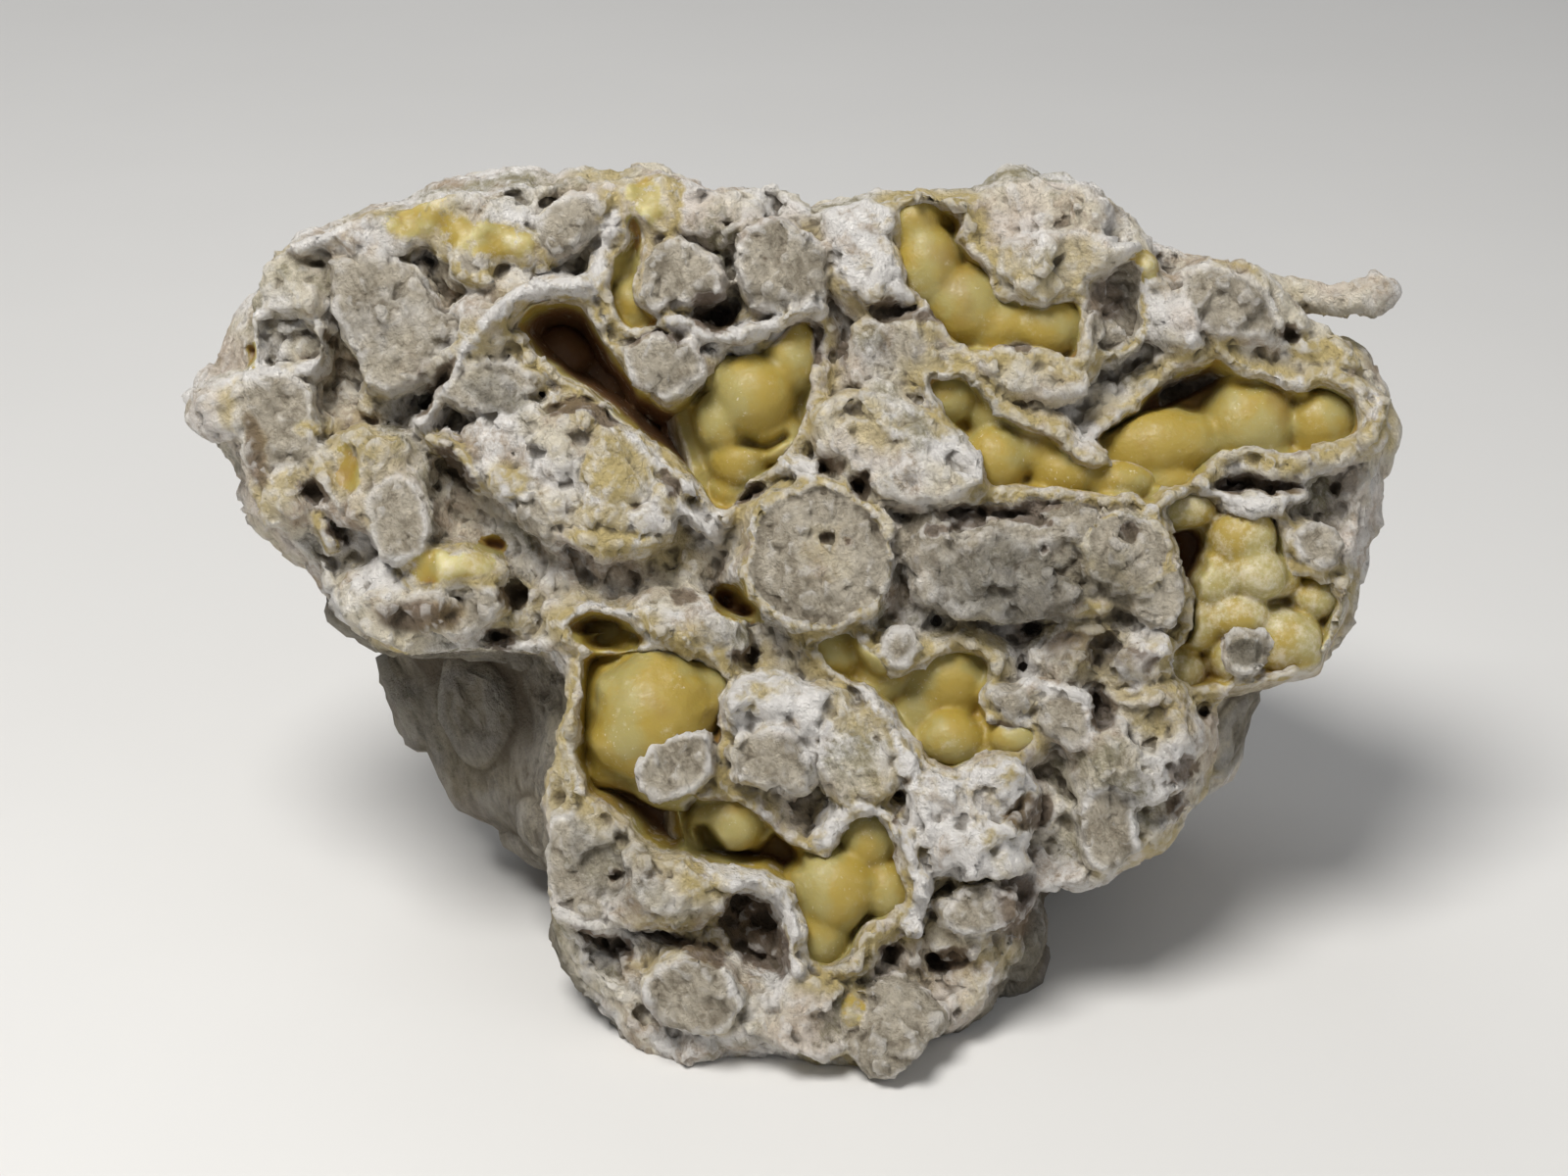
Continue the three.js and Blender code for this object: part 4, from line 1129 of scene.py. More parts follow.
# Angular holes
ANGULAR = (
    # lens
    Hollow((36.4, 8.6, 37.3, 9.4, 39, 9.8, 42.5, 9.4, 45.2, 8.7, 43.5, 8, 41.5, 7.9, 39.6, 8.4, 37.5, 8), 5),
    # under the crescent
    Hollow((-4.8, -26.3, -2.7, -26, -1.2, -27.2, -0.2, -29, 0.7, -32.1, -0.2, -33.3, -1.7, -32.3, -3.3, -32,
        -4.8, -30.7, -5.5, -28.3), 2),
    # crevice over the bottom core
    Hollow((-13.3, -28.9, -10, -29.7, -6.5, -30.4, -4.8, -31.3, -5.7, -32.1, -8.5, -31.1, -11.3, -30.5),
        2.8),
    # three-cornered hollow
    Hollow((-6.6, -0.5, -5.2, 0.3, -3.4, 0.8, -3.1, -0.2, -2.2, -2.1, -1.8, -3.4, -3.5, -2.8, -5.3, -2.2),
        5.5, Tone.HONEY),
    # square pit
    Hollow((-44.8, 22.9, -44, 23.5, -41.5, 23.5, -40.2, 22.8, -40.1, 21.2, -39.8, 19.9, -41.8, 19.8,
        -44.5, 20), 0.2),
    Hollow((-46.5, 20.7, -45.5, 21.5, -45.2, 20.3, -45.3, 18.8, -46.6, 18.7), 2.2, Tone.HONEY),  # small cell
    Hollow((-39.8, 22.8, -39, 22.2, -38.4, 20.8, -39.2, 20.6, -39.7, 21.6), 2.5),  # slit by the square pit
    # slot
    Hollow((-31.3, 17, -29.8, 18.3, -27.5, 19.7, -28.2, 18.3, -29.5, 16.5, -30.5, 14.5, -31.6, 14.3,
        -31.8, 15.8), 5.5),
    # low pocket
    Hollow((-18.8, -28.4, -16.7, -28.8, -14.4, -29.7, -12.8, -30.5, -12.5, -31.7, -14.2, -32.1, -15.8, -31.2,
        -17.5, -30), 4),
    Hollow((5.7, 9.3, 7.5, 10, 7.8, 8.3, 7.3, 7.2, 5.9, 7.7), 3),  # pit over the disc
    Hollow((-5.2, 8.3, -3.7, 9, -1.5, 9, -1.6, 7.8, -3.3, 7, -4.8, 7.1), 3.2),  # cavity over the disc
    Hollow((2.4, 22.5, 3.2, 22.3, 3.5, 20.7, 3.2, 19, 2.5, 19.3, 2.3, 20.8), 3.5),  # upright slot
    Hollow((4.8, 22.9, 5.5, 21.8, 5.5, 20, 5.2, 18.7, 4.8, 19.8, 4.7, 21.5), 3),  # second upright slot
    # grey pocket
    Hollow((25.4, 25, 26.7, 25.8, 28, 27.5, 29.3, 28.2, 30.1, 27, 30.1, 25, 30.5, 22.5, 29.5, 20.8,
        27.5, 20.2, 26, 20.7, 25.6, 22.5), 1, Tone.CORE),
    # square hollow
    Hollow((18.5, -19.3, 19.7, -17.7, 21, -17.3, 23.5, -18.2, 23.3, -19.7, 22.3, -20.8, 20.5, -20.8,
        19.2, -20.4), 1.8),
    # cavity by the petal
    Hollow((25.8, -8.8, 27.3, -9.3, 28.3, -10.4, 27.7, -12.2, 26.5, -12.7, 26, -10.8), 3),
    # hollow at the right
    Hollow((32.5, -15.2, 34.2, -14, 36.3, -14.6, 36, -15.9, 34.5, -16.8, 33.2, -16.5), 3),
    Hollow((32.8, -18.2, 34.3, -17.8, 35, -19, 34, -20.2, 33, -19.5), 1.6),  # second hollow at the right
    Hollow((8.2, -30.8, 9.2, -30.2, 10.1, -31.2, 9.4, -32.5, 8.3, -32.1), 3),  # hollow at the foot
    # second hollow at the foot
    Hollow((12, -31.3, 13.8, -30.7, 15.8, -31.1, 16, -32.4, 14.5, -33.2, 12.4, -32.9), 3),
    # hollow on the left
    Hollow((-38.9, 12.3, -37.5, 12.8, -36, 12, -35.6, 10, -36.5, 7.8, -37.5, 7.1, -38.2, 8.3, -38.8, 10.3),
        1, Tone.CREAM),
    Hollow((-29.8, 11.8, -28.2, 11.8, -26.8, 10, -26, 8.4, -27.5, 8.2, -28.8, 9.5), 2.2),  # brown crescent
    # dark hole on the left
    Hollow((-41.5, 9.2, -40.2, 9.5, -39, 8.7, -38.8, 7.3, -40.2, 7.2, -41.3, 7.9), 2.4),
    # dark cavity below the cap
    Hollow((-24.5, 0, -23.2, 0.3, -22, -0.5, -22.2, -1.8, -23.5, -2.2, -24.5, -1.3), 2.4),
    # second cavity below the cap
    Hollow((-25.8, -3.8, -24.3, -3.3, -23.2, -4.2, -23.7, -5.5, -25.2, -5.8, -25.8, -5), 2.4),
    # brown pocket
    Hollow((-26.5, 4.8, -25, 5, -23.8, 4.3, -24, 3.2, -25.5, 2.8, -26.3, 3.7), 2, Tone.HONEY),
    # cavity under the ridge
    Hollow((-8.2, 24.5, -6.5, 25, -4.3, 24.6, -3.8, 22.8, -4.8, 21, -6.7, 20.8, -8, 22.5), 3),
    # hollow over the fibrous stretch
    Hollow((7, 24, 10, 24.5, 13.2, 23.5, 13.5, 22.3, 11.3, 22.8, 8.3, 22.7), 1.6),
    # shadow under the tongue
    Hollow((12.5, 6.5, 15.8, 7.2, 20, 6.8, 23.3, 5.8, 22.7, 4.6, 19.2, 5.2, 15.8, 5.7, 13, 5.3), 2.4),
    # dark rough stretch
    Hollow((21.8, -4.2, 24.2, -3.3, 26.7, -3.8, 29.2, -4.6, 31.7, -5.7, 30.8, -7.2, 27.5, -6.8, 24.2, -6.3,
        22.2, -5.7), 1),
    Hollow((-4.8, -5.7, -4.2, -5.1, -2.8, -5.1, -2, -5.7, -2.5, -6.3, -4, -6.3), 2.6),  # oval hole
    Hollow((-10, -0.3, -8.8, 0.2, -7.5, -0.3, -7.8, -1.2, -9.2, -1.3), 2.2),  # hole by the arch
)

# Small holes and grooves
PITS = (
    Pit(-12.5, 7.1, 0.7, 0.5, 1.2),
    Pit(-1.7, 27.9, 0.35, 0.35, 0.8),
    Pit(3.5, 4.3, 0.55, 0.5, 2.4),
    Pit(5.2, 4, 0.45, 0.4, 2),
    Pit(3.9, 10.2, 1.5, 0.9, 2),
    Pit(21.9, 2.8, 0.5, 0.5, 1),
    Pit(29.4, 4.6, 1.3, 0.9, 1.8),
    Pit(10.4, -16.3, 0.5, 0.5, 0.9),
    Pit(9.6, -19.8, 0.5, 0.5, 0.9),
    Pit(-14.6, -24.6, 0.8, 0.7, 1.6),
    Pit(43.3, 21.7, 1.2, 1, 2),
    Pit(48, 8.8, 0.6, 0.8, 1.8),
    Slit(0.5, ((-13, 21, 1), (-10.6, 21.5, 1.6), (-9, 20.8, 1))),
    Slit(0.5, ((18.8, 21, 1.6), (20.4, 20.8, 1.8))),
    Slit(0.6, ((12.5, 4.6, 1.2), (16, 5.4, 1.8), (20, 6.2, 1.8), (23.3, 7, 1.2))),
    Slit(0.5, ((16.7, -12.2, 0.8), (18.3, -11.6, 1.4), (20, -12, 0.8))),
    Slit(0.7, ((-19.6, 15, 1.2), (-17, 15.6, 1.8), (-14.8, 14.2, 1.2))),
    Slit(0.5, ((-9.2, 8.1, 1.4), (-10, 9.6, 1.4))),
    Slit(0.4, ((-38.8, 4.6, 1.2), (-37.8, 3.8, 1.2))),
)

# Hollows that are lined with aragonite
BASINS = {
    "channel": Basin((-13.3, 32.9, -12.2, 31.3, -12, 29.6, -12.5, 28.2, -12.7, 26.2, -12.3, 24.6,
        -11.3, 23.5, -9.8, 23, -11, 22, -12.9, 22, -14.3, 23.2, -15.2, 25.8, -14.8, 27.7, -13.8, 29.5),
        1.2, 0.3, -5.2),
    # painted shade starts only 1 mm deep in the cave
    "cave": Basin((-23, 22, -21.6, 23.9, -19.3, 24.7, -16.9, 24.2, -15.7, 22, -14.4, 20, -12.3, 17,
        -9.7, 15.8, -7.7, 16.3, -7, 13.3, -6.3, 10.5, -5, 7.9, -6.4, 7.5, -8.8, 9.8, -11.2, 12, -13.8, 13.8,
        -16.7, 16.2, -20, 18.7, -21.8, 20.4), 0.8, 0.5, -15, dusk=1),
    "cluster": Basin((-7.4, 18.2, -4.6, 20.2, -2.5, 19.8, -0.8, 20.3, 1, 22.3, 2.5, 23, 2.6, 20, 2.3, 17.1,
        1.5, 14.2, 0.5, 12.1, -0.8, 10.2, -2.5, 9.2, -4.4, 6.2, -6.2, 6.6, -7.6, 9, -8.6, 12.1, -9.2, 15),
        0.6, 0.2, -4.4),
    "top": Basin((9.7, 32.2, 9.8, 28.5, 10.8, 25.8, 12.7, 23.3, 13.8, 21, 15.7, 19.7, 17.7, 20, 19.5, 21.2,
        21.8, 20.7, 23.8, 19.4, 25.2, 19.8, 25.6, 21.8, 25, 25, 21.8, 23.8, 20, 25, 18.3, 24.8, 17.5, 26.8,
        16, 28.2, 14.5, 29.7, 15.3, 30.7, 14.7, 32.3, 12.3, 32.9), 1.6, 0.1, -3.4),
    "middle": Basin((12.1, 18.2, 15.4, 18, 16.8, 16.8, 18.3, 14.7, 20.7, 13.7, 22.6, 13.2, 23.8, 12,
        24.8, 11, 26.5, 10.6, 29.2, 11.2, 32.8, 9.2, 31.2, 7.4, 25, 8, 20.4, 8.4, 17.7, 8.2, 17, 10.3,
        15.4, 12.7, 13.5, 14.5), 1.6, 0.2, -4.4),
    "right": Basin((26.1, 12.8, 27.5, 14.2, 30, 15.3, 31, 17, 33.3, 18.5, 37.1, 19.9, 39.2, 18.8, 41.7, 17.8,
        44.6, 16.8, 45.8, 17.8, 48.8, 16.7, 50, 15, 49.5, 13.2, 45.8, 12, 43.5, 11.3, 39.3, 12, 36.7, 10.8,
        34.2, 8.7, 31.5, 8.5, 28.8, 10.2), -0.6, 0.7, -8),
    "corner": Basin((33, 7.3, 34.6, 8.3, 36.5, 7.8, 37.5, 6.5, 41.7, 6.7, 43, 5, 43.5, 1.7, 45.8, 1,
        47.8, 0.8, 48.5, -1.2, 47.7, -3.8, 46, -6.7, 43.2, -7.5, 39.3, -8.1, 36.7, -8.7, 35.2, -9.3,
        33.5, -7.5, 33.2, -5.3, 34.7, -3.3, 34.7, 0, 33.8, 2.1, 33.3, 5), -1.6, 0.1, -7.4),
    "centre": Basin((2.2, -4.6, 4.2, -3.8, 6, -3.3, 7.3, -5.2, 9.6, -7.5, 11.2, -6.7, 12.9, -5.2, 15.8, -4.8,
        17.8, -6, 17.7, -7.7, 16.9, -9.3, 17.3, -11.2, 19, -12.1, 21, -11.5, 21.7, -12.9, 20, -14.2,
        17.1, -14, 14.6, -15.3, 12.5, -15, 10.8, -12.7, 8.8, -9.8, 6.3, -8.3, 4, -7.3), 1, 0.3, -3.6),
    "archway": Basin((-18.8, -2.8, -16.5, -1.8, -14.2, -1.8, -12.5, -3.2, -11.3, -5, -12.8, -5.7,
        -16.3, -5.7, -17.8, -4.7), 0.8, 0.8, -9),
    "bulbs": Basin((-17.5, -5.7, -13.3, -5.3, -9.2, -5.8, -5.4, -6.8, -4.5, -7.8, -5.5, -9.3, -5.2, -12.1,
        -5.7, -15.8, -6.7, -17.7, -8.7, -18.8, -8.2, -22.2, -9.3, -23, -11.7, -21.8, -14.2, -19.7,
        -16.5, -17.7, -17.7, -15.2, -17.8, -11.7, -17.5, -8.3), 0.2, 0.4, -6.6),
    "lower": Basin((-9.6, -18, -6, -17.8, -3.5, -18, -1, -19.8, 1.2, -21.7, 3.5, -22.7, 4.7, -20.8, 6, -19.2,
        7.7, -18.9, 9, -20.5, 10.2, -23.3, 10.8, -26.8, 8.8, -28.3, 6.7, -29.6, 5.7, -31.5, 3.8, -32.3,
        1.8, -31.8, 1.5, -29, 0.5, -26, -1.7, -24.4, -4.6, -23.9, -7.4, -23.4, -9.6, -21.2), 0.8, 0.7, -6.4),
}

# Lumps that stand out past the edge
PROUD = (
    LEFT_TIP,
    Lump(19.6, -30.6, 4.6, 5.8, -14, 6),
)

# Middle line and radii of the horn
HORN = ((39.6, 26.4, -7.0), (43.6, 25.8, -7.2), (47.4, 25.2, -7.0), (51.4, 25.6, -6.6))
HORN_RADII = (1.5, 1.5, 1.4, 1.9)


def uneven_ball(form: Lump, rough: float = 0.14, finely: int = 6) -> Object:
    """Makes a ball of a lump's size whose surface swells and sinks.

    Args:
        form: The lump.
        rough: How far the surface swells, as a share of its size.
        finely: Subdivisions of the ball.

    Returns:
        The ball, in mm on the face.
    """
    shape = bmesh.new()
    bmesh.ops.create_icosphere(shape, subdivisions=finely, radius=1.0)
    mesh = mesh_of(shape, "ball")
    places = coordinates(mesh)
    middle = np.array([form.u, form.v, form.w])
    swell = swirl(places * 1.5 + middle, 1.0) + 0.35 * swirl(places * 4 + middle, 1.0)
    places *= 1 + rough * swell[:, None]
    places *= [form.a, form.b, form.c]
    turn = np.array(Matrix.Rotation(math.radians(form.turn), 3, "Z"))
    move_to(mesh, places @ turn.T + middle)
    return piece_of("ball", mesh)


def tube(points: Sequence[Triple], radii: Sequence[float], voxel: float = 0.4) -> Object:
    """Makes a closed tube of uneven girth along points.

    Args:
        points: The points of its middle line.
        radii: Its radius at each of them.
        voxel: The steps of its surface.

    Returns:
        The tube, in mm on the face.
    """
    shape = bmesh.new()
    pairs = zip(itertools.pairwise(points), itertools.pairwise(radii), strict=True)
    for (start, end), (first, last) in pairs:
        along = Vector(end) - Vector(start)
        place = Matrix.Translation((Vector(start) + Vector(end)) / 2)
        turn = along.to_track_quat("Z", "Y").to_matrix().to_4x4()
        bmesh.ops.create_cone(shape, cap_ends=True, segments=24, radius1=first, radius2=last,
                              depth=along.length, matrix=place @ turn)
    for point, radius in zip(points, radii, strict=True):
        bmesh.ops.create_icosphere(shape, subdivisions=4, radius=radius, matrix=Matrix.Translation(point))
    piece = piece_of("tube", mesh_of(shape, "tube"))
    remesh(piece, voxel)
    return piece


def gather(pieces: Sequence[Object]) -> Object:
    """Puts the meshes of some objects in the first one, without joining their surfaces."""
    shape = bmesh.new()
    for piece in pieces:
        shape.from_mesh(piece.data)
    shape.to_mesh(pieces[0].data)
    shape.free()
    for piece in pieces[1:]:
        discard(piece)
    return pieces[0]


@dataclass
class Draws:
    """Numbers from 0 to 1 drawn by a fixed rule."""

    state: int = 7
    factor: int = 16807
    prime: int = 2147483647

    def draw(self) -> float:
        """The next number."""
        self.state = self.state * self.factor % self.prime
        return self.state / self.prime


@dataclass
class Rock:
    """The chalky mass: a ball whose front is spread over the face and whose sides run to a rear.

    The flank gives, from the edge of the face to the rear pole, the share of its outline that the
    body keeps, and its depth behind the face.
    """

    node: str = "matrix"
    finely: int = 8
    face_share: float = math.radians(102)
    side: Pair = (4.0, 25.0)
    dish: float = 460.0
    floor: float = 2.8
    flank: tuple[Pair, ...] = (
        (1, 1.6), (1.015, 5), (1, 12), (1, 20), (0.97, 29), (0.86, 38), (0.62, 45), (0.32, 48.5), (0, 49.5),
    )
    uneven: tuple[Waves, ...] = (Waves(1.5, 11.0, 40), Waves(1.0, 5.0, 41), Waves(0.5, 2.4, 42))
    rear_lumps: int = 30
    rear_sizes: Pair = (0.24, 0.46)
    rear_height: float = 13.0
    buds: float = 4.4
    bud_height: float = 1.5
    broken: tuple[Waves, ...] = (Waves(1.0, 5.5, 33), Waves(0.3, 2.4, 34))
    ledge: float = 0.8
    under_tones: float = -3.6
    behind: Pair = (-13.0, -7.0)
    sunk: tuple[Waves, ...] = (Waves(1.3, 2.2, 67), Waves(1.0, 4.6, 68))
    concretion: float = 9.5
    concretion_height: float = 2.3
    chips: tuple[Waves, ...] = (Facets(0.22, 1.7, 71), Facets(0.16, 0.9, 72))
    crumbs: tuple[Waves, ...] = (Ridges(0.20, 2.2, 73), Waves(0.12, 0.8, 70))
    layers: Waves = Waves(0.4, 3.4, 78)
    layer: float = 0.3
    sand: tuple[Waves, ...] = (Waves(0.10, 0.8, 74), Waves(0.14, 1.7, 75))
    coarse_behind: float = -12.0
    ground: float = 0.2
    dusk_depth: float = 5.0
    folds: tuple[Folds, ...] = (Folds("fold", 4, 0.6), Folds("dip", 30, 2.4))
    voxel: float = 0.3
    triangles: int = 196000
    piece: Object = field(init=False)

    def base_height(self, u: Array, depth: Array, rear: Array, spread: Array) -> Array:
        """Height of the bare body: level in the middle of the face, falling back at its edge."""
        return -depth - u * u / self.dish * (1 - rear) - self.floor * (1 - np.minimum(spread, 1) ** 8)

    def rear_relief(self, directions: Array) -> Array:
        """Height of the large lumps over each direction on the rear."""
        height = np.zeros(len(directions))
        draws = Draws()
        for index in range(self.rear_lumps):
            turn_draw, size_draw = draws.draw(), draws.draw()
            up = 1 - 2 * (index + 0.5) / self.rear_lumps
            ring = math.sqrt(1 - up * up)
            turn = index * math.pi * (3 - math.sqrt(5)) + 0.6 * turn_draw
            size = self.rear_sizes[0] + (self.rear_sizes[1] - self.rear_sizes[0]) * size_draw
            middle = np.array([ring * math.cos(turn), ring * math.sin(turn), up])
            away = np.arccos(np.clip(directions @ middle, -1, 1)) / size
            height = np.maximum(height, size * self.rear_height * dome(away))
        return height

    def face_field(self, u: Array, v: Array, height: Array) -> FaceField:
        """The face over some places, with all its forms pressed into it."""
        face = FaceField(u, v, height)
        every = np.arange(len(u))
        cells = Cells.around(face.flat, self.buds, 21)
        domes = np.minimum(dome(cells.nearest / 0.62), 0.75)
        face.raise_to(every, height + self.bud_height * domes * ramp(cells.own, 0.2, 0.6), None)
        for form in LUMPS:
            form.press(face)
        broken = ledges(heights(self.broken, face.flat), self.ledge)
        face.height += (1 - face.tones[Tone.HONEY]) * (broken - 0.3 + 0.5 * face.facets)
        for form in (*PLATES, *CORES, *WALLS):
            form.press(face)
        for basin in BASINS.values():
            basin.raise_lip(face)
        for form in (*BASINS.values(), *STANDING, *ANGULAR, *PATCHES, *PITS):
            form.press(face)
        return face

    def body(self) -> Object:
        """Makes the body with the forms of its face."""
        shape = bmesh.new()
        bmesh.ops.create_icosphere(shape, subdivisions=self.finely, radius=1.0)
        mesh = mesh_of(shape, self.node)
        ball = coordinates(mesh)
        ball /= np.linalg.norm(ball, axis=1)[:, None]
        angle = np.arctan2(ball[:, 1], ball[:, 0])
        polar = np.arccos(np.clip(ball[:, 2], -1, 1))
        on_face = polar < self.face_share
        spread = np.sqrt((1 - np.cos(polar)) / (1 - math.cos(self.face_share)))
        round_share = np.clip((polar - self.face_share) / (math.pi - self.face_share), 0, 1)
        knots = np.linspace(0, 1, len(self.flank))
        share, depth = (np.interp(round_share, knots, column) for column in zip(*self.flank, strict=True))
        share = np.where(on_face, spread, share)
        depth = np.where(on_face, self.flank[0][1] * spread**8, depth)
        rear = ramp(depth, *self.side)
        reach = share * (FACE_EDGE.reach(angle) * (1 - rear) + REAR_EDGE.reach(angle) * rear)
        u = MIDDLE[0] + reach * np.cos(angle)
        v = MIDDLE[1] + reach * np.sin(angle)
        height = self.base_height(u, depth, rear, np.where(on_face, spread, 1))
        places = np.stack([u, v, height], axis=1)
        waves = heights(self.uneven, np.stack([u, v, -depth], axis=1))
        front = self.face_field(u, v, height)
        places[:, 2] = np.where(on_face, front.height + waves * ramp(spread, 0.9, 1.0), height)
        outward = (self.rear_relief(ball) * np.minimum(1, round_share * 4) + waves)[:, None] * ball
        places += np.where(on_face[:, None], 0, outward)
        move_to(mesh, places)
        return piece_of("chalky_rock", mesh)

    def fuse(self) -> None:
        """Fuses what stands out with the body."""
        horn = tube(HORN, HORN_RADII)
        for proud in (gather([uneven_ball(form) for form in PROUD]), horn):
            combine(self.piece, proud, "UNION")
        remesh(self.piece, self.voxel)

    def tones_at(self, places: Array) -> tuple[dict[Tone, Array], Array]:
        """What the rock is made of, and where shade is painted on it, at places in mm on the face.

        Args:
            places: The places, one a row.

        Returns:
            For each tone its share at each place, from 0 to 1, and the depth at which painted shade starts
            at each place.
        """
        u, v, w = places.T
        face = self.face_field(u, v, np.full(len(places), self.under_tones))
        sunk = heights(self.sunk, places, face.rim - w)
        honey = face.tones[Tone.HONEY]
        honey[face.lined] *= ramp(sunk, 0.4, 3.0)[face.lined]
        inner = face.lined & (w > -20)
        front = np.maximum(ramp(w, *self.behind), inner)
        tones = {tone: mask * front for tone, mask in face.tones.items()}
        loose = ramp(swirl(places, 7.0, 66), 0.05, 0.4) * (1 - tones[Tone.CORE]) * (1 - honey)
        tones[Tone.CREAM] = np.maximum(tones[Tone.CREAM], 0.8 * loose)
        self.add_rear_tones(tones, places, 1 - front)
        # painted shade on the receding lower left side under the face, partly dark weathering; random
        # weathering on the rear
        low_left_side_shade = ramp(-w, 3.0, 8.0) * ramp(4.0 - v - 0.6 * u, 12.0, 24.0)
        low_left_side_shade *= ramp(-v + 2.0 * swirl(places, 5.0, 69), 2.0, 8.0)
        grey = np.maximum(low_left_side_shade, (1 - front) * ramp(swirl(places, 14.0, 64), -0.1, 0.4))
        tones[Tone.WEATHERED] = np.maximum(tones[Tone.WEATHERED], grey * ~inner)
        return tones, face.dusk

    def add_rear_tones(self, tones: dict[Tone, Array], places: Array, behind: Array) -> None:
        """Adds the ringed ends of concretions, honey and stains to what lies behind the face."""
        cells = self.rear_cells(places)
        tones[Tone.CORE] += behind * ramp(cells.own, 0.3, 0.4) * (1 - ramp(cells.nearest, 0.34, 0.42))
        ring = ramp(cells.nearest, 0.36, 0.42) * (1 - ramp(cells.nearest, 0.46, 0.54))
        tones[Tone.WHITE] += behind * 0.7 * ring
        tones[Tone.HONEY] += behind * 0.8 * ramp(swirl(places, 9.0, 62), 0.35, 0.5)
        tones[Tone.STAIN] += behind * (0.10 + 0.35 * ramp(swirl(places, 12.0, 63), -0.2, 0.5))

    def rear_cells(self, places: Array) -> Cells:
        """The concretions that make up the rear and the sides."""
        strayed = places + 1.4 * np.stack([swirl(places, 6.0, seed) for seed in (91, 92, 93)], axis=1)
        return Cells.around(strayed, self.concretion, 61)

    def roughen(self) -> None:
        """Gives the surface its crumbs, fibres and grains, least where it is honey-coloured."""
        mesh = self.piece.data
        places = coordinates(mesh)
        tones, _ = self.tones_at(places)
        smooth = np.clip(tones[Tone.HONEY], 0, 1)[:, None]
        places = places * (1 - smooth) + soften(places, edges_of(mesh), 10) * smooth
        smooth = smooth[:, 0]
        behind = 1 - ramp(places[:, 2], *self.behind)
        cells = self.rear_cells(places)
        domes = dome(cells.nearest / 0.56)
        lumps = behind * (self.concretion_height * np.minimum(domes, 0.62) - 0.7)
        lumps *= 0.4 + 0.6 * ramp(cells.own, 0.0, 0.4)
        core = np.clip(np.clip(tones[Tone.CORE], 0, 1) + 0.5 * behind * (domes > 0.6), 0, 1)
        chips = heights(self.chips, places)
        crumbs = heights(self.crumbs, places, chips) + ledges(self.layers.over(places), self.layer)
        crumbs *= 1 - 0.5 * behind
        sand = heights(self.sand, places) + chips
        move = (1 - smooth) * ((1 - core) * crumbs + core * sand) + smooth * 0.05 * swirl(places, 2.0, 77)
        move_to(mesh, places + (move + lumps)[:, None] * normals(mesh))

    def stand(self) -> None:
        """Turns the rock to the ground and cuts it off flat there."""
        self.piece.data.transform(FACE.to_ground)
        shape = bmesh.new()
        below = Matrix.Translation((0, 0, -self.ground / 2))
        bmesh.ops.create_cube(shape, size=self.ground, matrix=below)
        combine(self.piece, piece_of("ground", mesh_of(shape, "ground")), "DIFFERENCE")

    def tint(self) -> None:
        """Keeps what each vertex is made of and where shade is painted on it, and how deep it lies in folds,
        for the finish.
        """
        mesh = self.piece.data
        places = FACE.on_face(coordinates(mesh))
        tones, dusk = self.tones_at(places)
        for tone, mask in tones.items():
            store(mesh, tone.value, mask)
        # painted shade on honey-coloured parts deep in the hollows, partly the lining's own dark brown
        dark = ramp(-places[:, 2], dusk, dusk + self.dusk_depth)
        store(mesh, "deep", dark * np.clip(tones[Tone.HONEY], 0, 1))
        for folds in self.folds:
            folds.keep(mesh)

    def build(self) -> Object:
        """Makes the finished rock."""
        self.piece = self.body()
        self.fuse()
        self.roughen()
        self.stand()
        depth = FACE.on_face(coordinates(self.piece.data))[:, 2]
        thin(self.piece, self.triangles, depth < self.coarse_behind)
        self.piece.data.shade_smooth()
        self.tint()
        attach(self.piece, "root")
        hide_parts(self.node)
        return self.piece


# ---- The honey-coloured linings ----


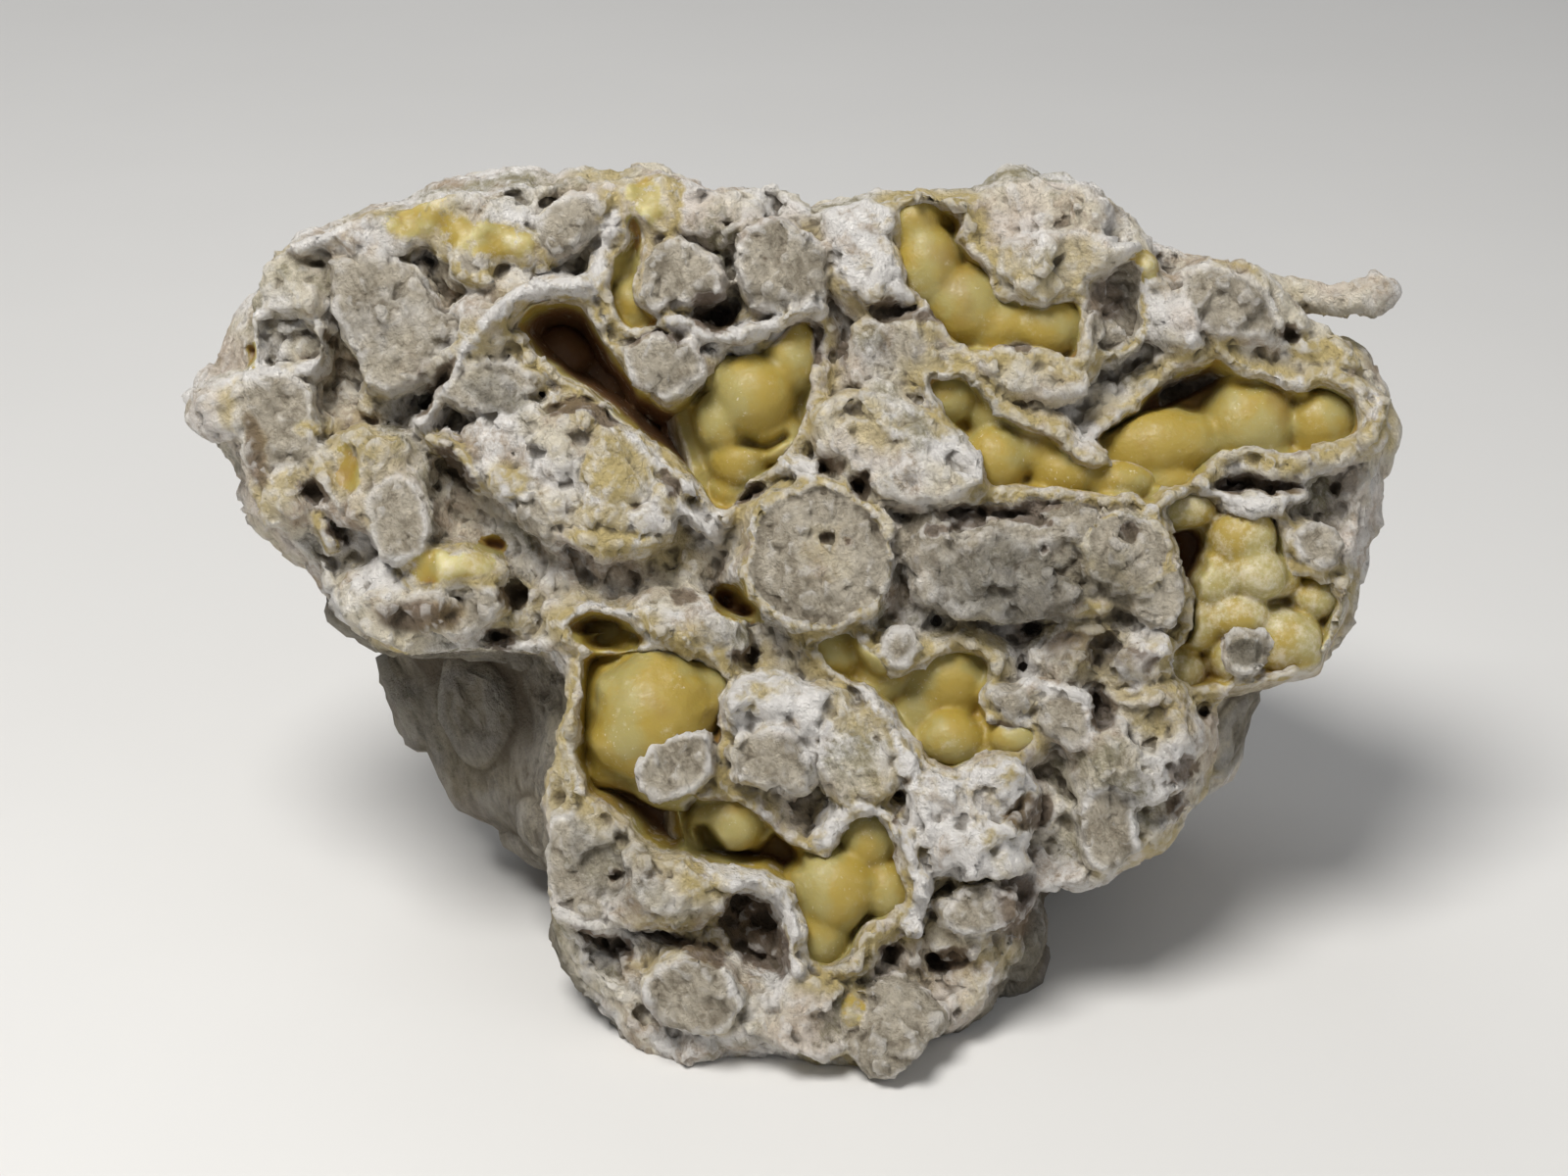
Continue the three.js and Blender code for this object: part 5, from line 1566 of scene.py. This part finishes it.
@dataclass
class Lining:
    """The lining of some hollows, with its globules, and dark gaps between them."""

    node: str
    hollows: tuple[str, ...]
    globules: tuple[Knob, ...]
    gaps: tuple[Hollow, ...] = ()
    dust: float = 0.0
    knobs: float = 1.0
    knob_spacing: float = 3.4
    knob_height: float = 1.6
    drop: float = 3.0
    step: float = 0.2
    margin: float = 1.8
    buried: float = 1.3
    skirt: float = 1.5
    steep: float = 3.2
    blend: float = 0.3
    voxel: float = 0.19
    rounds: int = 6
    dusk_depth: float = 6.0
    waves: Waves = Waves(0.8, 2.8, 86)
    swell: tuple[Waves, ...] = (Waves(0.9, 3.4, 84), Waves(0.3, 1.7, 85))
    bumps: tuple[Waves, ...] = (Waves(0.14, 3.0, 88), Waves(0.05, 1.3, 89))
    velvet: tuple[Waves, ...] = (Waves(0.05, 1.4, 82), Waves(0.02, 0.5, 83))
    folds: tuple[Folds, ...] = (Folds("fold", 6, 0.4), Folds("dip", 60, 2.4))
    triangles: int = 60000
    piece: Object = field(init=False)

    @property
    def basins(self) -> list[Basin]:
        """The hollows it lines."""
        return [BASINS[name] for name in self.hollows]

    def inside(self, u: Array, v: Array) -> Array:
        """How far places lie inside each hollow's outline, a row for each hollow."""
        at = bent(u, v)
        return np.stack([basin.inside(*at) for basin in self.basins])

    def off_wall(self, u: Array, v: Array, inside: Array) -> Array:
        """How far places lie off the nearest wall, none of which stands between two hollows that meet.

        Args:
            u: How far right each place is.
            v: How far up the face.
            inside: How far it lies inside the lined hollows.

        Returns:
            The distance in mm.
        """
        at = bent(u, v)
        beside = np.max([basin.inside(*at) for basin in BASINS.values()], axis=0)
        reach = np.maximum(inside, 3.0 * beside - 2.0 * np.maximum(inside, 0))
        return np.maximum(reach + self.waves.over(level_with(u, v)), 0)

    def level(self, u: Array, v: Array) -> Array:
        """The height of the lining over places on the face."""
        flat = level_with(u, v)
        each = self.inside(u, v)
        own = np.argmax(each, axis=0)
        inside = np.max(each, axis=0)
        rims, floors = np.array([(basin.rim, basin.floor) for basin in self.basins])[own].T
        cells = Cells.around(flat, self.knob_spacing, 87)
        knobs = self.knob_height * self.knobs * dome(cells.nearest / 0.75) * ramp(cells.own, 0.0, 0.5)
        wall = rims - self.drop - self.steep * self.off_wall(u, v, inside)
        bumpy = heights(self.bumps, flat, 1.0)
        parts = [wall + 0.6 * knobs, floors + heights(self.swell, flat) + knobs]
        parts += [globule.level(u, v, bumpy) for globule in self.globules]
        most = np.max(parts, axis=0)
        fused = most + self.blend * np.log(sum(np.exp((part - most) / self.blend) for part in parts))
        for gap in self.gaps:
            fused = fused - gap.depth * ramp(gap.inside(*bent(u, v)), -0.3, 0.7)
        return fused - 4.0 * np.maximum(-0.1 - inside, 0)

    def slab(self) -> Object:
        """Makes the lining as a slab that follows its level and reaches down into the rock."""
        boxes = np.array([basin.box(self.margin) for basin in self.basins])
        u_from, u_to = boxes[:, 0].min(), boxes[:, 1].max()
        v_from, v_to = boxes[:, 2].min(), boxes[:, 3].max()
        width, height = u_to - u_from, v_to - v_from
        place = Matrix.Translation(((u_from + u_to) / 2, (v_from + v_to) / 2, 0))
        shape = bmesh.new()
        across, along = round(width / self.step), round(height / self.step)
        bmesh.ops.create_grid(shape, x_segments=across, y_segments=along, size=0.5,
                              matrix=place @ Matrix.Diagonal((width, height, 1, 1)))
        u = np.array([vertex.co.x for vertex in shape.verts])
        v = np.array([vertex.co.y for vertex in shape.verts])
        level = self.level(u, v)
        hidden = np.max(self.inside(u, v), axis=0) < -self.buried
        for vertex, z in zip(shape.verts, level, strict=True):
            vertex.co.z = z
        spare = [vertex for vertex, gone in zip(shape.verts, hidden, strict=True) if gone]
        bmesh.ops.delete(shape, geom=spare, context="VERTS")
        border = [edge for edge in shape.edges if edge.is_boundary]
        made = bmesh.ops.extrude_edge_only(shape, edges=border)["geom"]
        low = min(level[~hidden]) - self.skirt
        for vertex in made:
            if isinstance(vertex, bmesh.types.BMVert):
                vertex.co.z = low
        bmesh.ops.holes_fill(shape, edges=[edge for edge in shape.edges if edge.is_boundary], sides=0)
        bmesh.ops.recalc_face_normals(shape, faces=shape.faces)
        return piece_of(self.node + "_lining", mesh_of(shape, self.node))

    def build(self) -> Object:
        """Makes the finished lining."""
        self.piece = self.slab()
        remesh(self.piece, self.voxel)
        mesh = self.piece.data
        move_to(mesh, soften(coordinates(mesh), edges_of(mesh), self.rounds))
        places = coordinates(mesh)
        move_to(mesh, places + heights(self.velvet, places)[:, None] * normals(mesh))
        thin(self.piece, self.triangles)
        mesh = self.piece.data
        places = coordinates(mesh)
        inside = np.max(self.inside(places[:, 0], places[:, 1]), axis=0)
        mesh.transform(FACE.to_ground)
        mesh.shade_smooth()
        dusk = self.basins[0].dusk
        store(mesh, "edge", 1 - ramp(inside, -0.2, 0.9))
        store(mesh, "dust", np.full(len(places), self.dust))
        # painted shade deeper in the hollow, partly the lining's own dark brown
        store(mesh, "deep", ramp(-places[:, 2], dusk, dusk + self.dusk_depth))
        for folds in self.folds:
            folds.keep(mesh)
        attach(self.piece, "root")
        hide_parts(self.node)
        return self.piece


LININGS = (
    Lining("channel_crust", ("channel",), (Knob(-13.5, 31.6, 1.6, 2.2, -2.2),
        Knob(-13.8, 28.2, 2.2, 2.6, -2.8), Knob(-12.8, 24.6, 2.6, 2.6, -1.8))),
    Lining("cave_crust", ("cave",), (Knob(-19.6, 20.6, 2.6, 2.4, -7),
        Knob(-16.2, 18.6, 2.6, 3, -9.6, turn=30), Knob(-12.6, 15.6, 3, 2.4, -10.6),
        Knob(-8.6, 13, 2.6, 3, -8.4)), steep=9, drop=1.5),
    Lining("cluster_crust", ("cluster",), (Knob(-2.6, 16.6, 3.4, 3.4, 1.6), Knob(0.6, 19.8, 2.4, 3, 0.4),
        Knob(-5.2, 14.4, 2.4, 2.8, 0), Knob(-4, 11, 2.6, 2.4, -0.8), Knob(-0.6, 13, 2.2, 2.4, -0.6),
        Knob(-5, 18.2, 2, 1.8, -0.6), Knob(-4.6, 8.4, 1.8, 2, -2.2)), (
        Hollow((-4, 13.7, -2.1, 12.8, 0, 13.7, 0.5, 12.8, -1.7, 11.7, -4.2, 12.3), 2.5),
    )),
    Lining("top_crust", ("top",), (Knob(11.2, 31.4, 2.4, 2.8, 0.4), Knob(12.2, 27.8, 3.2, 3.6, 1),
        Knob(15.4, 24.4, 3.6, 3.4, 0.6, turn=-30), Knob(18.6, 22.4, 3.2, 2.6, 0),
        Knob(22.6, 22.4, 3.4, 2.8, 0.4))),
    Lining("right_crust", ("right",), (Knob(32.5, 12.4, 5.5, 3.4, -1.6, turn=8),
        Knob(40.4, 14.4, 4, 3.7, -2), Knob(46.4, 14.4, 2.9, 3, -2.4), Knob(40.4, 10.9, 4.6, 1.6, -3, turn=6),
        Knob(33, 9.2, 3, 1.4, -2.4), Knob(37, 17.6, 4, 2, -8.2)), (
        Hollow((26.7, 13, 29.2, 16.1, 33.3, 18, 38.5, 19.5, 39.2, 18.7, 36.5, 17, 33.7, 15.5, 30.5, 14.7,
            28.3, 13.7), 6),
    ), knobs=0.5),
    Lining("corner_crust", ("corner",), (Knob(39.6, 4.4, 2.9, 2.6, -1.2), Knob(37, 0.6, 2.6, 2.4, -2),
        Knob(40.6, 1.2, 2.6, 2.2, -1), Knob(35.6, -3.2, 2.2, 2.2, -2.4), Knob(39.2, -2.4, 2.6, 2, -1.8),
        Knob(43.4, -4.4, 3.4, 2.7, -2.2), Knob(39.2, -6, 2.6, 2, -2.8), Knob(46, -0.8, 2, 1.8, -3.4),
        Knob(34.6, -7.2, 2, 2.2, -3.6), Knob(34.8, 6.8, 2.6, 1.6, -2.2), Knob(43, 1.2, 1.8, 1.8, -3)), (
        Hollow((33.5, 4.6, 35.2, 5, 36.5, 4.3, 36.3, 2.1, 35.5, 0.7, 35.3, -1.8, 34.7, -4.8, 33.8, -4.6,
            34, 0, 33.2, 2.3), 9),
    ), dust=0.45),
    Lining("middle_crust", ("middle",), (Knob(14, 16.4, 2.4, 2.2, -0.4), Knob(18.2, 11, 2.8, 2.8, 0.2),
        Knob(21.4, 12, 2.4, 2.4, -1), Knob(24.2, 10, 3, 2.4, -0.6), Knob(28.6, 9.2, 3.2, 1.8, -0.8),
        Knob(17.8, 15, 2, 1.8, -1.6))),
    Lining("centre_crust", ("centre",), (Knob(4, -5.6, 2.8, 2, -0.6, turn=-20),
        Knob(8.8, -4.8, 2.7, 2.7, 1.6), Knob(14, -7.6, 4.6, 3.4, -1.2),
        Knob(8, -7.8, 2.6, 2, -1.6, turn=-40), Knob(14.2, -12.8, 2.9, 2.4, 0),
        Knob(19.6, -12.8, 2.2, 1.6, 0), Knob(11.6, -10.4, 2.2, 2.4, -1.6))),
    Lining("lower_left_crust", ("archway", "bulbs"), (Knob(-14.8, -4.2, 2.6, 1.8, -5.6),
        Knob(-11.2, -11, 5.4, 5.8, 3), Knob(-6.8, -8.4, 2.8, 2.2, -0.2, turn=-10),
        Knob(-14.6, -17, 3, 4.6, -3.6, turn=30), Knob(-9.8, -20.4, 2.4, 2.2, -4.6),
        Knob(-9.8, -16, 4, 3.4, -0.6)), (
        Hollow((-16.7, -16.7, -13.3, -17.7, -10.7, -19.2, -8.3, -19.8, -7.8, -21.5, -9.2, -22.5,
            -12.3, -20.8, -15, -18.8), 4),
    ), steep=5, drop=3.6, knobs=0.5),
    Lining("lower_crust", ("lower",), (Knob(-4.9, -20.4, 3.2, 2.5, -0.6, turn=10),
        Knob(-0.6, -22, 2.8, 2.4, -3), Knob(4.2, -25.8, 3.7, 3.8, 0.6), Knob(7.2, -21.4, 2.5, 2.9, -0.6),
        Knob(3.2, -29.6, 2.4, 2.8, -0.6), Knob(8.8, -26, 2.2, 2.6, -0.8)), (
        Hollow((-8.2, -20.7, -7, -20, -4.8, -22.3, -2.3, -22.7, -0.8, -20.7, 0.5, -21.3, 1.5, -23.7,
            0, -24.7, -3.3, -24.2, -6, -23.7), 4.5),
    )),
)


# ---- Finishes ----


class Value:
    """A number that varies over a surface. Sums and products of such numbers add nodes."""

    def __init__(self, shader: "Shader", socket: NodeSocket) -> None:
        """Wraps the socket that gives the number."""
        self.shader = shader
        self.socket = socket

    def _with(self, operation: str, first: "Value | float", second: "Value | float") -> "Value":
        """Adds the node of one operation."""
        node = self.shader.node("ShaderNodeMath", {"operation": operation}, {0: first, 1: second})
        return Value(self.shader, node.outputs[0])

    def __add__(self, other: "Value | float") -> "Value":
        """The sum."""
        return self._with("ADD", self, other)

    __radd__ = __add__

    def __mul__(self, other: "Value | float") -> "Value":
        """The product."""
        return self._with("MULTIPLY", self, other)

    __rmul__ = __mul__

    def __sub__(self, other: "Value | float") -> "Value":
        """The difference."""
        return self._with("SUBTRACT", self, other)

    def __rsub__(self, other: "Value | float") -> "Value":
        """The difference, the other way round."""
        return self._with("SUBTRACT", other, self)

    def step(self, start: float, end: float, low: float = 0.0, high: float = 1.0) -> "Value":
        """A smooth step from low at start to high at end."""
        node = self.shader.node("ShaderNodeMapRange", {"interpolation_type": "SMOOTHSTEP"}, {
            "Value": self, "From Min": start, "From Max": end, "To Min": low, "To Max": high})
        return Value(self.shader, node.outputs["Result"])


class Shader:
    """The nodes of one material."""

    def __init__(self, name: str) -> None:
        """Starts with nothing but the output."""
        self.material = bpy.data.materials.new(name)
        self.material.use_nodes = True
        self.tree = self.material.node_tree
        self.tree.nodes.clear()
        self.output = self.node("ShaderNodeOutputMaterial")
        self.place = self.node("ShaderNodeTexCoord").outputs["Object"]

    def node(self, kind: str, settings: dict | None = None, inputs: dict | None = None) -> Node:
        """Adds a node.

        Args:
            kind: Blender's name of the node's type.
            settings: Its settings, which are set first.
            inputs: Values, sockets or Values for its sockets, by name or number.

        Returns:
            The node.
        """
        made = self.tree.nodes.new(kind)
        for name, value in (settings or {}).items():
            setattr(made, name, value)
        for key, value in (inputs or {}).items():
            socket = made.inputs[key]
            if isinstance(value, Value):
                self.tree.links.new(value.socket, socket)
            elif isinstance(value, NodeSocket):
                self.tree.links.new(value, socket)
            elif isinstance(value, tuple) and len(value) == 3 and socket.type == "RGBA":
                socket.default_value = (*value, 1.0)
            else:
                socket.default_value = value
        return made

    def kept(self, name: str) -> Value:
        """A number kept for each vertex."""
        return Value(self, self.node("ShaderNodeAttribute", {"attribute_name": name}).outputs["Fac"])

    def noise(self, size: float, detail: float = 3.0, rough: float = 0.55, warp: float = 0.0,
              place: NodeSocket | None = None) -> Value:
        """Noise from 0 to 1.

        Args:
            size: How many mm its forms are across.
            detail: How many layers of finer forms it has.
            rough: How strong the finer forms are.
            warp: How far the forms are bent.
            place: Where it is read, if not at the piece's own places.

        Returns:
            The noise.
        """
        made = self.node("ShaderNodeTexNoise", None, {
            "Vector": place or self.place, "Scale": 1 / (size * MM), "Detail": detail, "Roughness": rough,
            "Distortion": warp})
        return Value(self, made.outputs["Fac"])

    def fibres(self, size: float, slant: float = -0.42, length: float = 5.0) -> Value:
        """Noise from 0 to 1 drawn out into slanting fibres that are size mm across."""
        drawn = self.node("ShaderNodeMapping", {"vector_type": "TEXTURE"}, {
            "Vector": self.place, "Rotation": (0.0, slant, 0.0), "Scale": (1.0, 1.0, length)})
        return self.noise(size, 4.0, 0.65, 0.5, drawn.outputs[0])

    def blend(self, share: Value, under: Colour | NodeSocket,
              over: Colour | NodeSocket) -> NodeSocket:
        """Mixes two colours by a share."""
        made = self.node("ShaderNodeMix", {"data_type": "RGBA"}, {0: share, 6: under, 7: over})
        return made.outputs[2]

    def bump(self, height: Value, depth: float) -> NodeSocket:
        """Turns a height from 0 to 1 into a fine relief of a depth in mm."""
        made = self.node("ShaderNodeBump", None, {"Height": height, "Distance": depth * MM, "Strength": 1.0})
        return made.outputs["Normal"]

    def mixed(self, share: Value, under: Node, over: Node) -> Node:
        """Mixes two surfaces by a share."""
        return self.node("ShaderNodeMixShader", None, {0: share, 1: under.outputs[0], 2: over.outputs[0]})

    def finished(self, surface: Node) -> Material:
        """The material, with its surface joined to its output."""
        self.tree.links.new(surface.outputs[0], self.output.inputs["Surface"])
        return self.material


@dataclass(frozen=True)
class HoneyLook:
    """Waxy, half see-through aragonite, dusted with chalk: paler on its knobs as a painted highlight, amber
    in its folds and dark deep in its hollows as painted shade, partly its own colour there.
    """

    # painted highlight on the convex tops of the knobs, partly their paler honey
    pale: Colour = (0.58, 0.525, 0.26)
    body: Colour = (0.36, 0.30, 0.10)
    gold: Colour = (0.37, 0.265, 0.045)
    brown: Colour = (0.26, 0.155, 0.03)
    # painted shade in folds, partly the honey's own amber
    amber: Colour = (0.28, 0.145, 0.032)
    # painted shade deep in the hollows, partly the lining's own dark brown
    deep: Colour = (0.20, 0.098, 0.042)
    chalk: Colour = (0.66, 0.60, 0.46)

    def colour(self, shader: Shader, fold: Value, dip: Value) -> NodeSocket:
        """The colour over the surface."""
        clouds = shader.noise(5.0, 3.0)
        tone = shader.blend(clouds.step(0.4, 0.58), self.gold, self.body)
        tone = shader.blend(shader.noise(8.0, 2.0).step(0.42, 0.3, 0.0, 0.6), tone, self.brown)
        # paler on convex tops: painted highlight, partly paler honey
        tone = shader.blend(dip.step(0.48, 0.2) * clouds.step(0.3, 0.55, 0.3, 1.0), tone, self.pale)
        # amber in folds and hollows: painted shade, partly amber honey
        tone = shader.blend(fold.step(0.5, 0.9, 0.0, 0.85), tone, self.amber)
        tone = shader.blend(dip.step(0.5, 1.0, 0.0, 0.9), tone, self.amber)
        # darker with depth: painted shade, partly the lining's own dark brown
        tone = shader.blend(shader.kept("deep").step(0.0, 1.0, 0.0, 0.97), tone, self.deep)
        bloom = 0.14 * dip.step(0.45, 0.2) + 0.22 * shader.kept("dust")
        frost = 0.6 * shader.noise(2.6, 6.0, 0.75) + 0.4 * shader.noise(0.7, 4.0, 0.7)
        film = (frost + bloom).step(0.54, 0.74, 0.0, 0.65)
        tone = shader.blend(film * (1 - shader.kept("deep")), tone, self.chalk)
        specks = shader.noise(0.32, 1.0).step(0.66, 0.74) * shader.noise(4.0).step(0.45, 0.7)
        return shader.blend(specks * 0.7, tone, self.chalk)

    def surface(self, shader: Shader, fold: Value, dip: Value) -> Node:
        """The shader node."""
        grain = shader.noise(0.35, 2.0) + 0.5 * shader.noise(1.2, 2.0)
        return shader.node("ShaderNodeBsdfPrincipled", {"subsurface_method": "RANDOM_WALK"}, {
            "Base Color": self.colour(shader, fold, dip),
            "Roughness": shader.noise(0.6).step(0.3, 0.7, 0.42, 0.62),
            "Normal": shader.bump(grain, 0.05),
            "Subsurface Weight": 0.3, "Subsurface Radius": (1.0, 0.6, 0.2), "Subsurface Scale": 1.4 * MM,
            "IOR": 1.53, "Specular IOR Level": 0.45})

    def material(self) -> Material:
        """The finish of the linings, which fades to chalk where they meet the rock."""
        shader = Shader("honey aragonite")
        honey = self.surface(shader, shader.kept("fold"), shader.kept("dip"))
        dust = ChalkLook().surface(shader)
        ragged = shader.kept("edge") + 0.8 * shader.noise(1.6, 4.0, 0.65)
        return shader.finished(shader.mixed(ragged.step(1.0, 1.6), honey, dust))


@dataclass(frozen=True)
class ChalkLook:
    """Powdery, fibrous chalk with sandy grey cores, white rims, dark weathering and brown stains, with
    painted shade in creases, hollows and on the receding lower left side, and a painted highlight on ridges.
    """

    # also the painted highlight along ridges
    white: Colour = (0.96, 0.925, 0.88)
    ivory: Colour = (0.83, 0.755, 0.60)
    rose: Colour = (0.80, 0.69, 0.585)
    beige: Colour = (0.52, 0.41, 0.30)
    olive: Colour = (0.38, 0.34, 0.23)
    cream: Colour = (0.63, 0.505, 0.235)
    core: Colour = (0.61, 0.545, 0.435)
    core_dark: Colour = (0.31, 0.265, 0.195)
    # darkens creases and hollows as painted shade, and adds random grime
    dirt_and_crease_shade: Colour = (0.125, 0.098, 0.065)
    # brown staining, and painted shade in holes, grooves and recesses
    stain: Colour = (0.17, 0.11, 0.065)
    # dark weathering, and painted shade on the receding lower left side
    weathered: Colour = (0.12, 0.105, 0.08)
    worn_and_side_shade: Colour = (0.27, 0.24, 0.18)

    def chalk(self, shader: Shader, crumbs: Value, fibres: Value) -> NodeSocket:
        """The colour of plain chalk: beige and olive under ivory, white and rose."""
        patches = 0.9 * shader.noise(4.5, 3.0) + 0.6 * crumbs + 0.5 * fibres
        ground = shader.blend(shader.noise(8.0, 2.0).step(0.45, 0.6), self.beige, self.olive)
        light = shader.blend(shader.noise(7.0, 3.0).step(0.44, 0.6), self.white, self.ivory)
        light = shader.blend(shader.noise(11.0, 2.0).step(0.5, 0.66, 0.0, 0.7), light, self.rose)
        chalk = shader.blend(patches.step(0.78, 1.1), ground, light)
        stained = shader.kept("cream") * shader.noise(1.8, 4.0).step(0.3, 0.52)
        return shader.blend(stained, chalk, self.cream)

    def colour(self, shader: Shader) -> NodeSocket:
        """The colour over the surface."""
        fold, dip = shader.kept("fold"), shader.kept("dip")
        crumbs, fibres = shader.noise(1.0, 7.0, 0.78, 0.6), shader.fibres(0.8)
        sand = 0.5 * shader.noise(0.7, 6.0, 0.8) + 0.55 * fibres + 0.55 * shader.noise(3.4, 3.0)
        core = shader.blend(sand.step(0.6, 0.94), self.core_dark, self.core)
        ragged = shader.kept("core") + 0.6 * shader.noise(1.5, 3.0)
        tone = shader.blend(ragged.step(0.6, 1.1), self.chalk(shader, crumbs, fibres), core)
        tone = shader.blend(shader.kept("white") * shader.noise(2.0, 3.0).step(0.3, 0.55), tone, self.white)
        # dark weathering, and painted shade on the receding lower left side
        weathering_and_side_shade = shader.kept("weathered") + 0.7 * shader.noise(2.2, 5.0, 0.65)
        worn_and_side_shade = shader.blend(sand.step(0.62, 0.94), self.weathered, self.worn_and_side_shade)
        tone = shader.blend(weathering_and_side_shade.step(0.6, 1.1, 0.0, 0.9), tone, worn_and_side_shade)
        # brown staining, and painted shade in holes, grooves and recesses
        tone = shader.blend(shader.kept("stain").step(0.1, 1.0, 0.0, 0.8), tone, self.stain)
        # random grime among the crumbs and fibres
        tone = shader.blend((0.6 * crumbs + 0.4 * fibres).step(0.44, 0.34, 0.0, 0.5), tone, self.dirt_and_crease_shade)
        # painted shade in fine creases and in broad hollows
        tone = shader.blend(fold.step(0.56, 0.95, 0.0, 0.65), tone, self.dirt_and_crease_shade)
        tone = shader.blend(dip.step(0.55, 1.0, 0.0, 0.7), tone, self.dirt_and_crease_shade)
        # painted highlight on ridges, partly pale wear on their edges
        ridge = fold.step(0.42, 0.1, 0.0, 0.45) * (1 - 0.8 * shader.kept("weathered"))
        return shader.blend(ridge, tone, self.white)

    def surface(self, shader: Shader) -> Node:
        """The shader node."""
        grain = 0.7 * shader.noise(1.1, 7.0, 0.78, 0.6) + 0.6 * shader.fibres(0.6)
        grain = grain + 0.4 * shader.noise(0.35, 3.0)
        return shader.node("ShaderNodeBsdfPrincipled", None, {
            "Base Color": self.colour(shader), "Roughness": shader.noise(1.0).step(0.3, 0.7, 0.82, 0.97),
            "Normal": shader.bump(grain, 0.95), "Specular IOR Level": 0.25})

    def material(self) -> Material:
        """The finish of the rock, honey-coloured where its hollows are lined."""
        shader = Shader("chalky rock")
        chalk = self.surface(shader)
        honey = HoneyLook().surface(shader, shader.kept("fold"), shader.kept("dip"))
        bloom = shader.noise(2.4, 4.0, 0.65).step(0.36, 0.52, 0.5, 1.0)
        ragged = shader.kept("honey") * bloom + 0.8 * shader.noise(1.1, 4.0, 0.6)
        return shader.finished(shader.mixed(ragged.step(0.68, 1.12), chalk, honey))


@dataclass(frozen=True)
class FloorLook:
    """Pale, matt paper."""

    light: Colour = (0.74, 0.73, 0.71)
    dark: Colour = (0.70, 0.69, 0.67)
    cloud: float = 60.0
    roughness: float = 0.9

    def material(self) -> Material:
        """The finish of the floor."""
        shader = Shader("pale floor")
        tone = shader.blend(shader.noise(self.cloud), self.dark, self.light)
        return shader.finished(shader.node("ShaderNodeBsdfPrincipled", None, {
            "Base Color": tone, "Roughness": self.roughness}))


# ---- Studio ----


@dataclass(frozen=True)
class Softbox:
    """A soft lamp: where it stands, its size and its strength in watts, all in metres."""

    name: str
    place: Triple
    size: float
    watts: float
    tint: Colour = (1.0, 1.0, 1.0)

    def hang(self, target: Vector) -> None:
        """Puts the lamp up, facing its target."""
        lamp = bpy.data.lights.new(self.name, "AREA")
        lamp.shape = "DISK"
        lamp.size = self.size
        lamp.energy = self.watts
        lamp.color = self.tint
        holder = bpy.data.objects.new(self.name, lamp)
        holder.location = self.place
        holder.rotation_euler = (target - Vector(self.place)).to_track_quat("-Z", "Y").to_euler()
        bpy.context.scene.collection.objects.link(holder)


@dataclass(frozen=True)
class Studio:
    """A pale floor, soft lamps, a dim sky and the camera, whose distance from the face is in mm."""

    distance: float = 259.0
    focal_length: float = 70.0
    sensor: float = 36.0
    sharp: Pair = (0.01, 20.0)
    floor_size: float = 4.0
    lit: Triple = (0.0, 0.0, 0.03)
    sky: float = 0.2
    sky_tint: Colour = (0.92, 0.95, 1.0)
    lamps: tuple[Softbox, ...] = (
        Softbox("key", (-0.14, -0.22, 0.52), 0.24, 3.2, (1.0, 0.985, 0.96)),
        Softbox("fill", (0.45, -0.35, 0.30), 0.5, 0.5, (0.95, 0.97, 1.0)),
        Softbox("back", (-0.2, 0.5, 0.5), 0.5, 0.8),
    )

    def camera(self) -> None:
        """Sets the camera square to the face."""
        lens = bpy.data.cameras.new("camera")
        lens.lens = self.focal_length
        lens.sensor_width = self.sensor
        lens.clip_start, lens.clip_end = self.sharp
        holder = bpy.data.objects.new("camera", lens)
        holder.location = FACE.to_ground @ Vector((0, 0, self.distance))
        holder.rotation_euler = (math.pi / 2 - FACE.lean, 0, 0)
        bpy.context.scene.collection.objects.link(holder)
        bpy.context.scene.camera = holder

    def floor(self) -> None:
        """Lays the floor."""
        shape = bmesh.new()
        bmesh.ops.create_grid(shape, x_segments=8, y_segments=8, size=self.floor_size / 2)
        mesh = mesh_of(shape, "floor")
        mesh.materials.append(FloorLook().material())
        piece_of("floor", mesh)

    def build(self) -> None:
        """Sets everything up."""
        self.camera()
        self.floor()
        for lamp in self.lamps:
            lamp.hang(Vector(self.lit))
        world = bpy.data.worlds.new("sky")
        world.use_nodes = True
        background = world.node_tree.nodes["Background"].inputs
        background["Color"].default_value = (*self.sky_tint, 1.0)
        background["Strength"].default_value = self.sky
        bpy.context.scene.world = world
        bpy.context.scene.view_settings.view_transform = "Standard"


def dress(piece: Object, finish: Material) -> None:
    """Gives a finished piece its only material, and says how large it is."""
    piece.data.materials.clear()
    piece.data.materials.append(finish)
    log.info("%s: %d faces", piece.name, len(piece.data.polygons))


def main() -> None:
    """Builds everything in order, and says how large each piece is."""
    logging.basicConfig(level=logging.INFO, format="%(relativeCreated)6.0f ms  %(message)s")
    Studio().build()
    dress(Rock().build(), ChalkLook().material())
    honey = HoneyLook().material()
    for lining in LININGS:
        dress(lining.build(), honey)


if __name__ == "__main__":
    main()
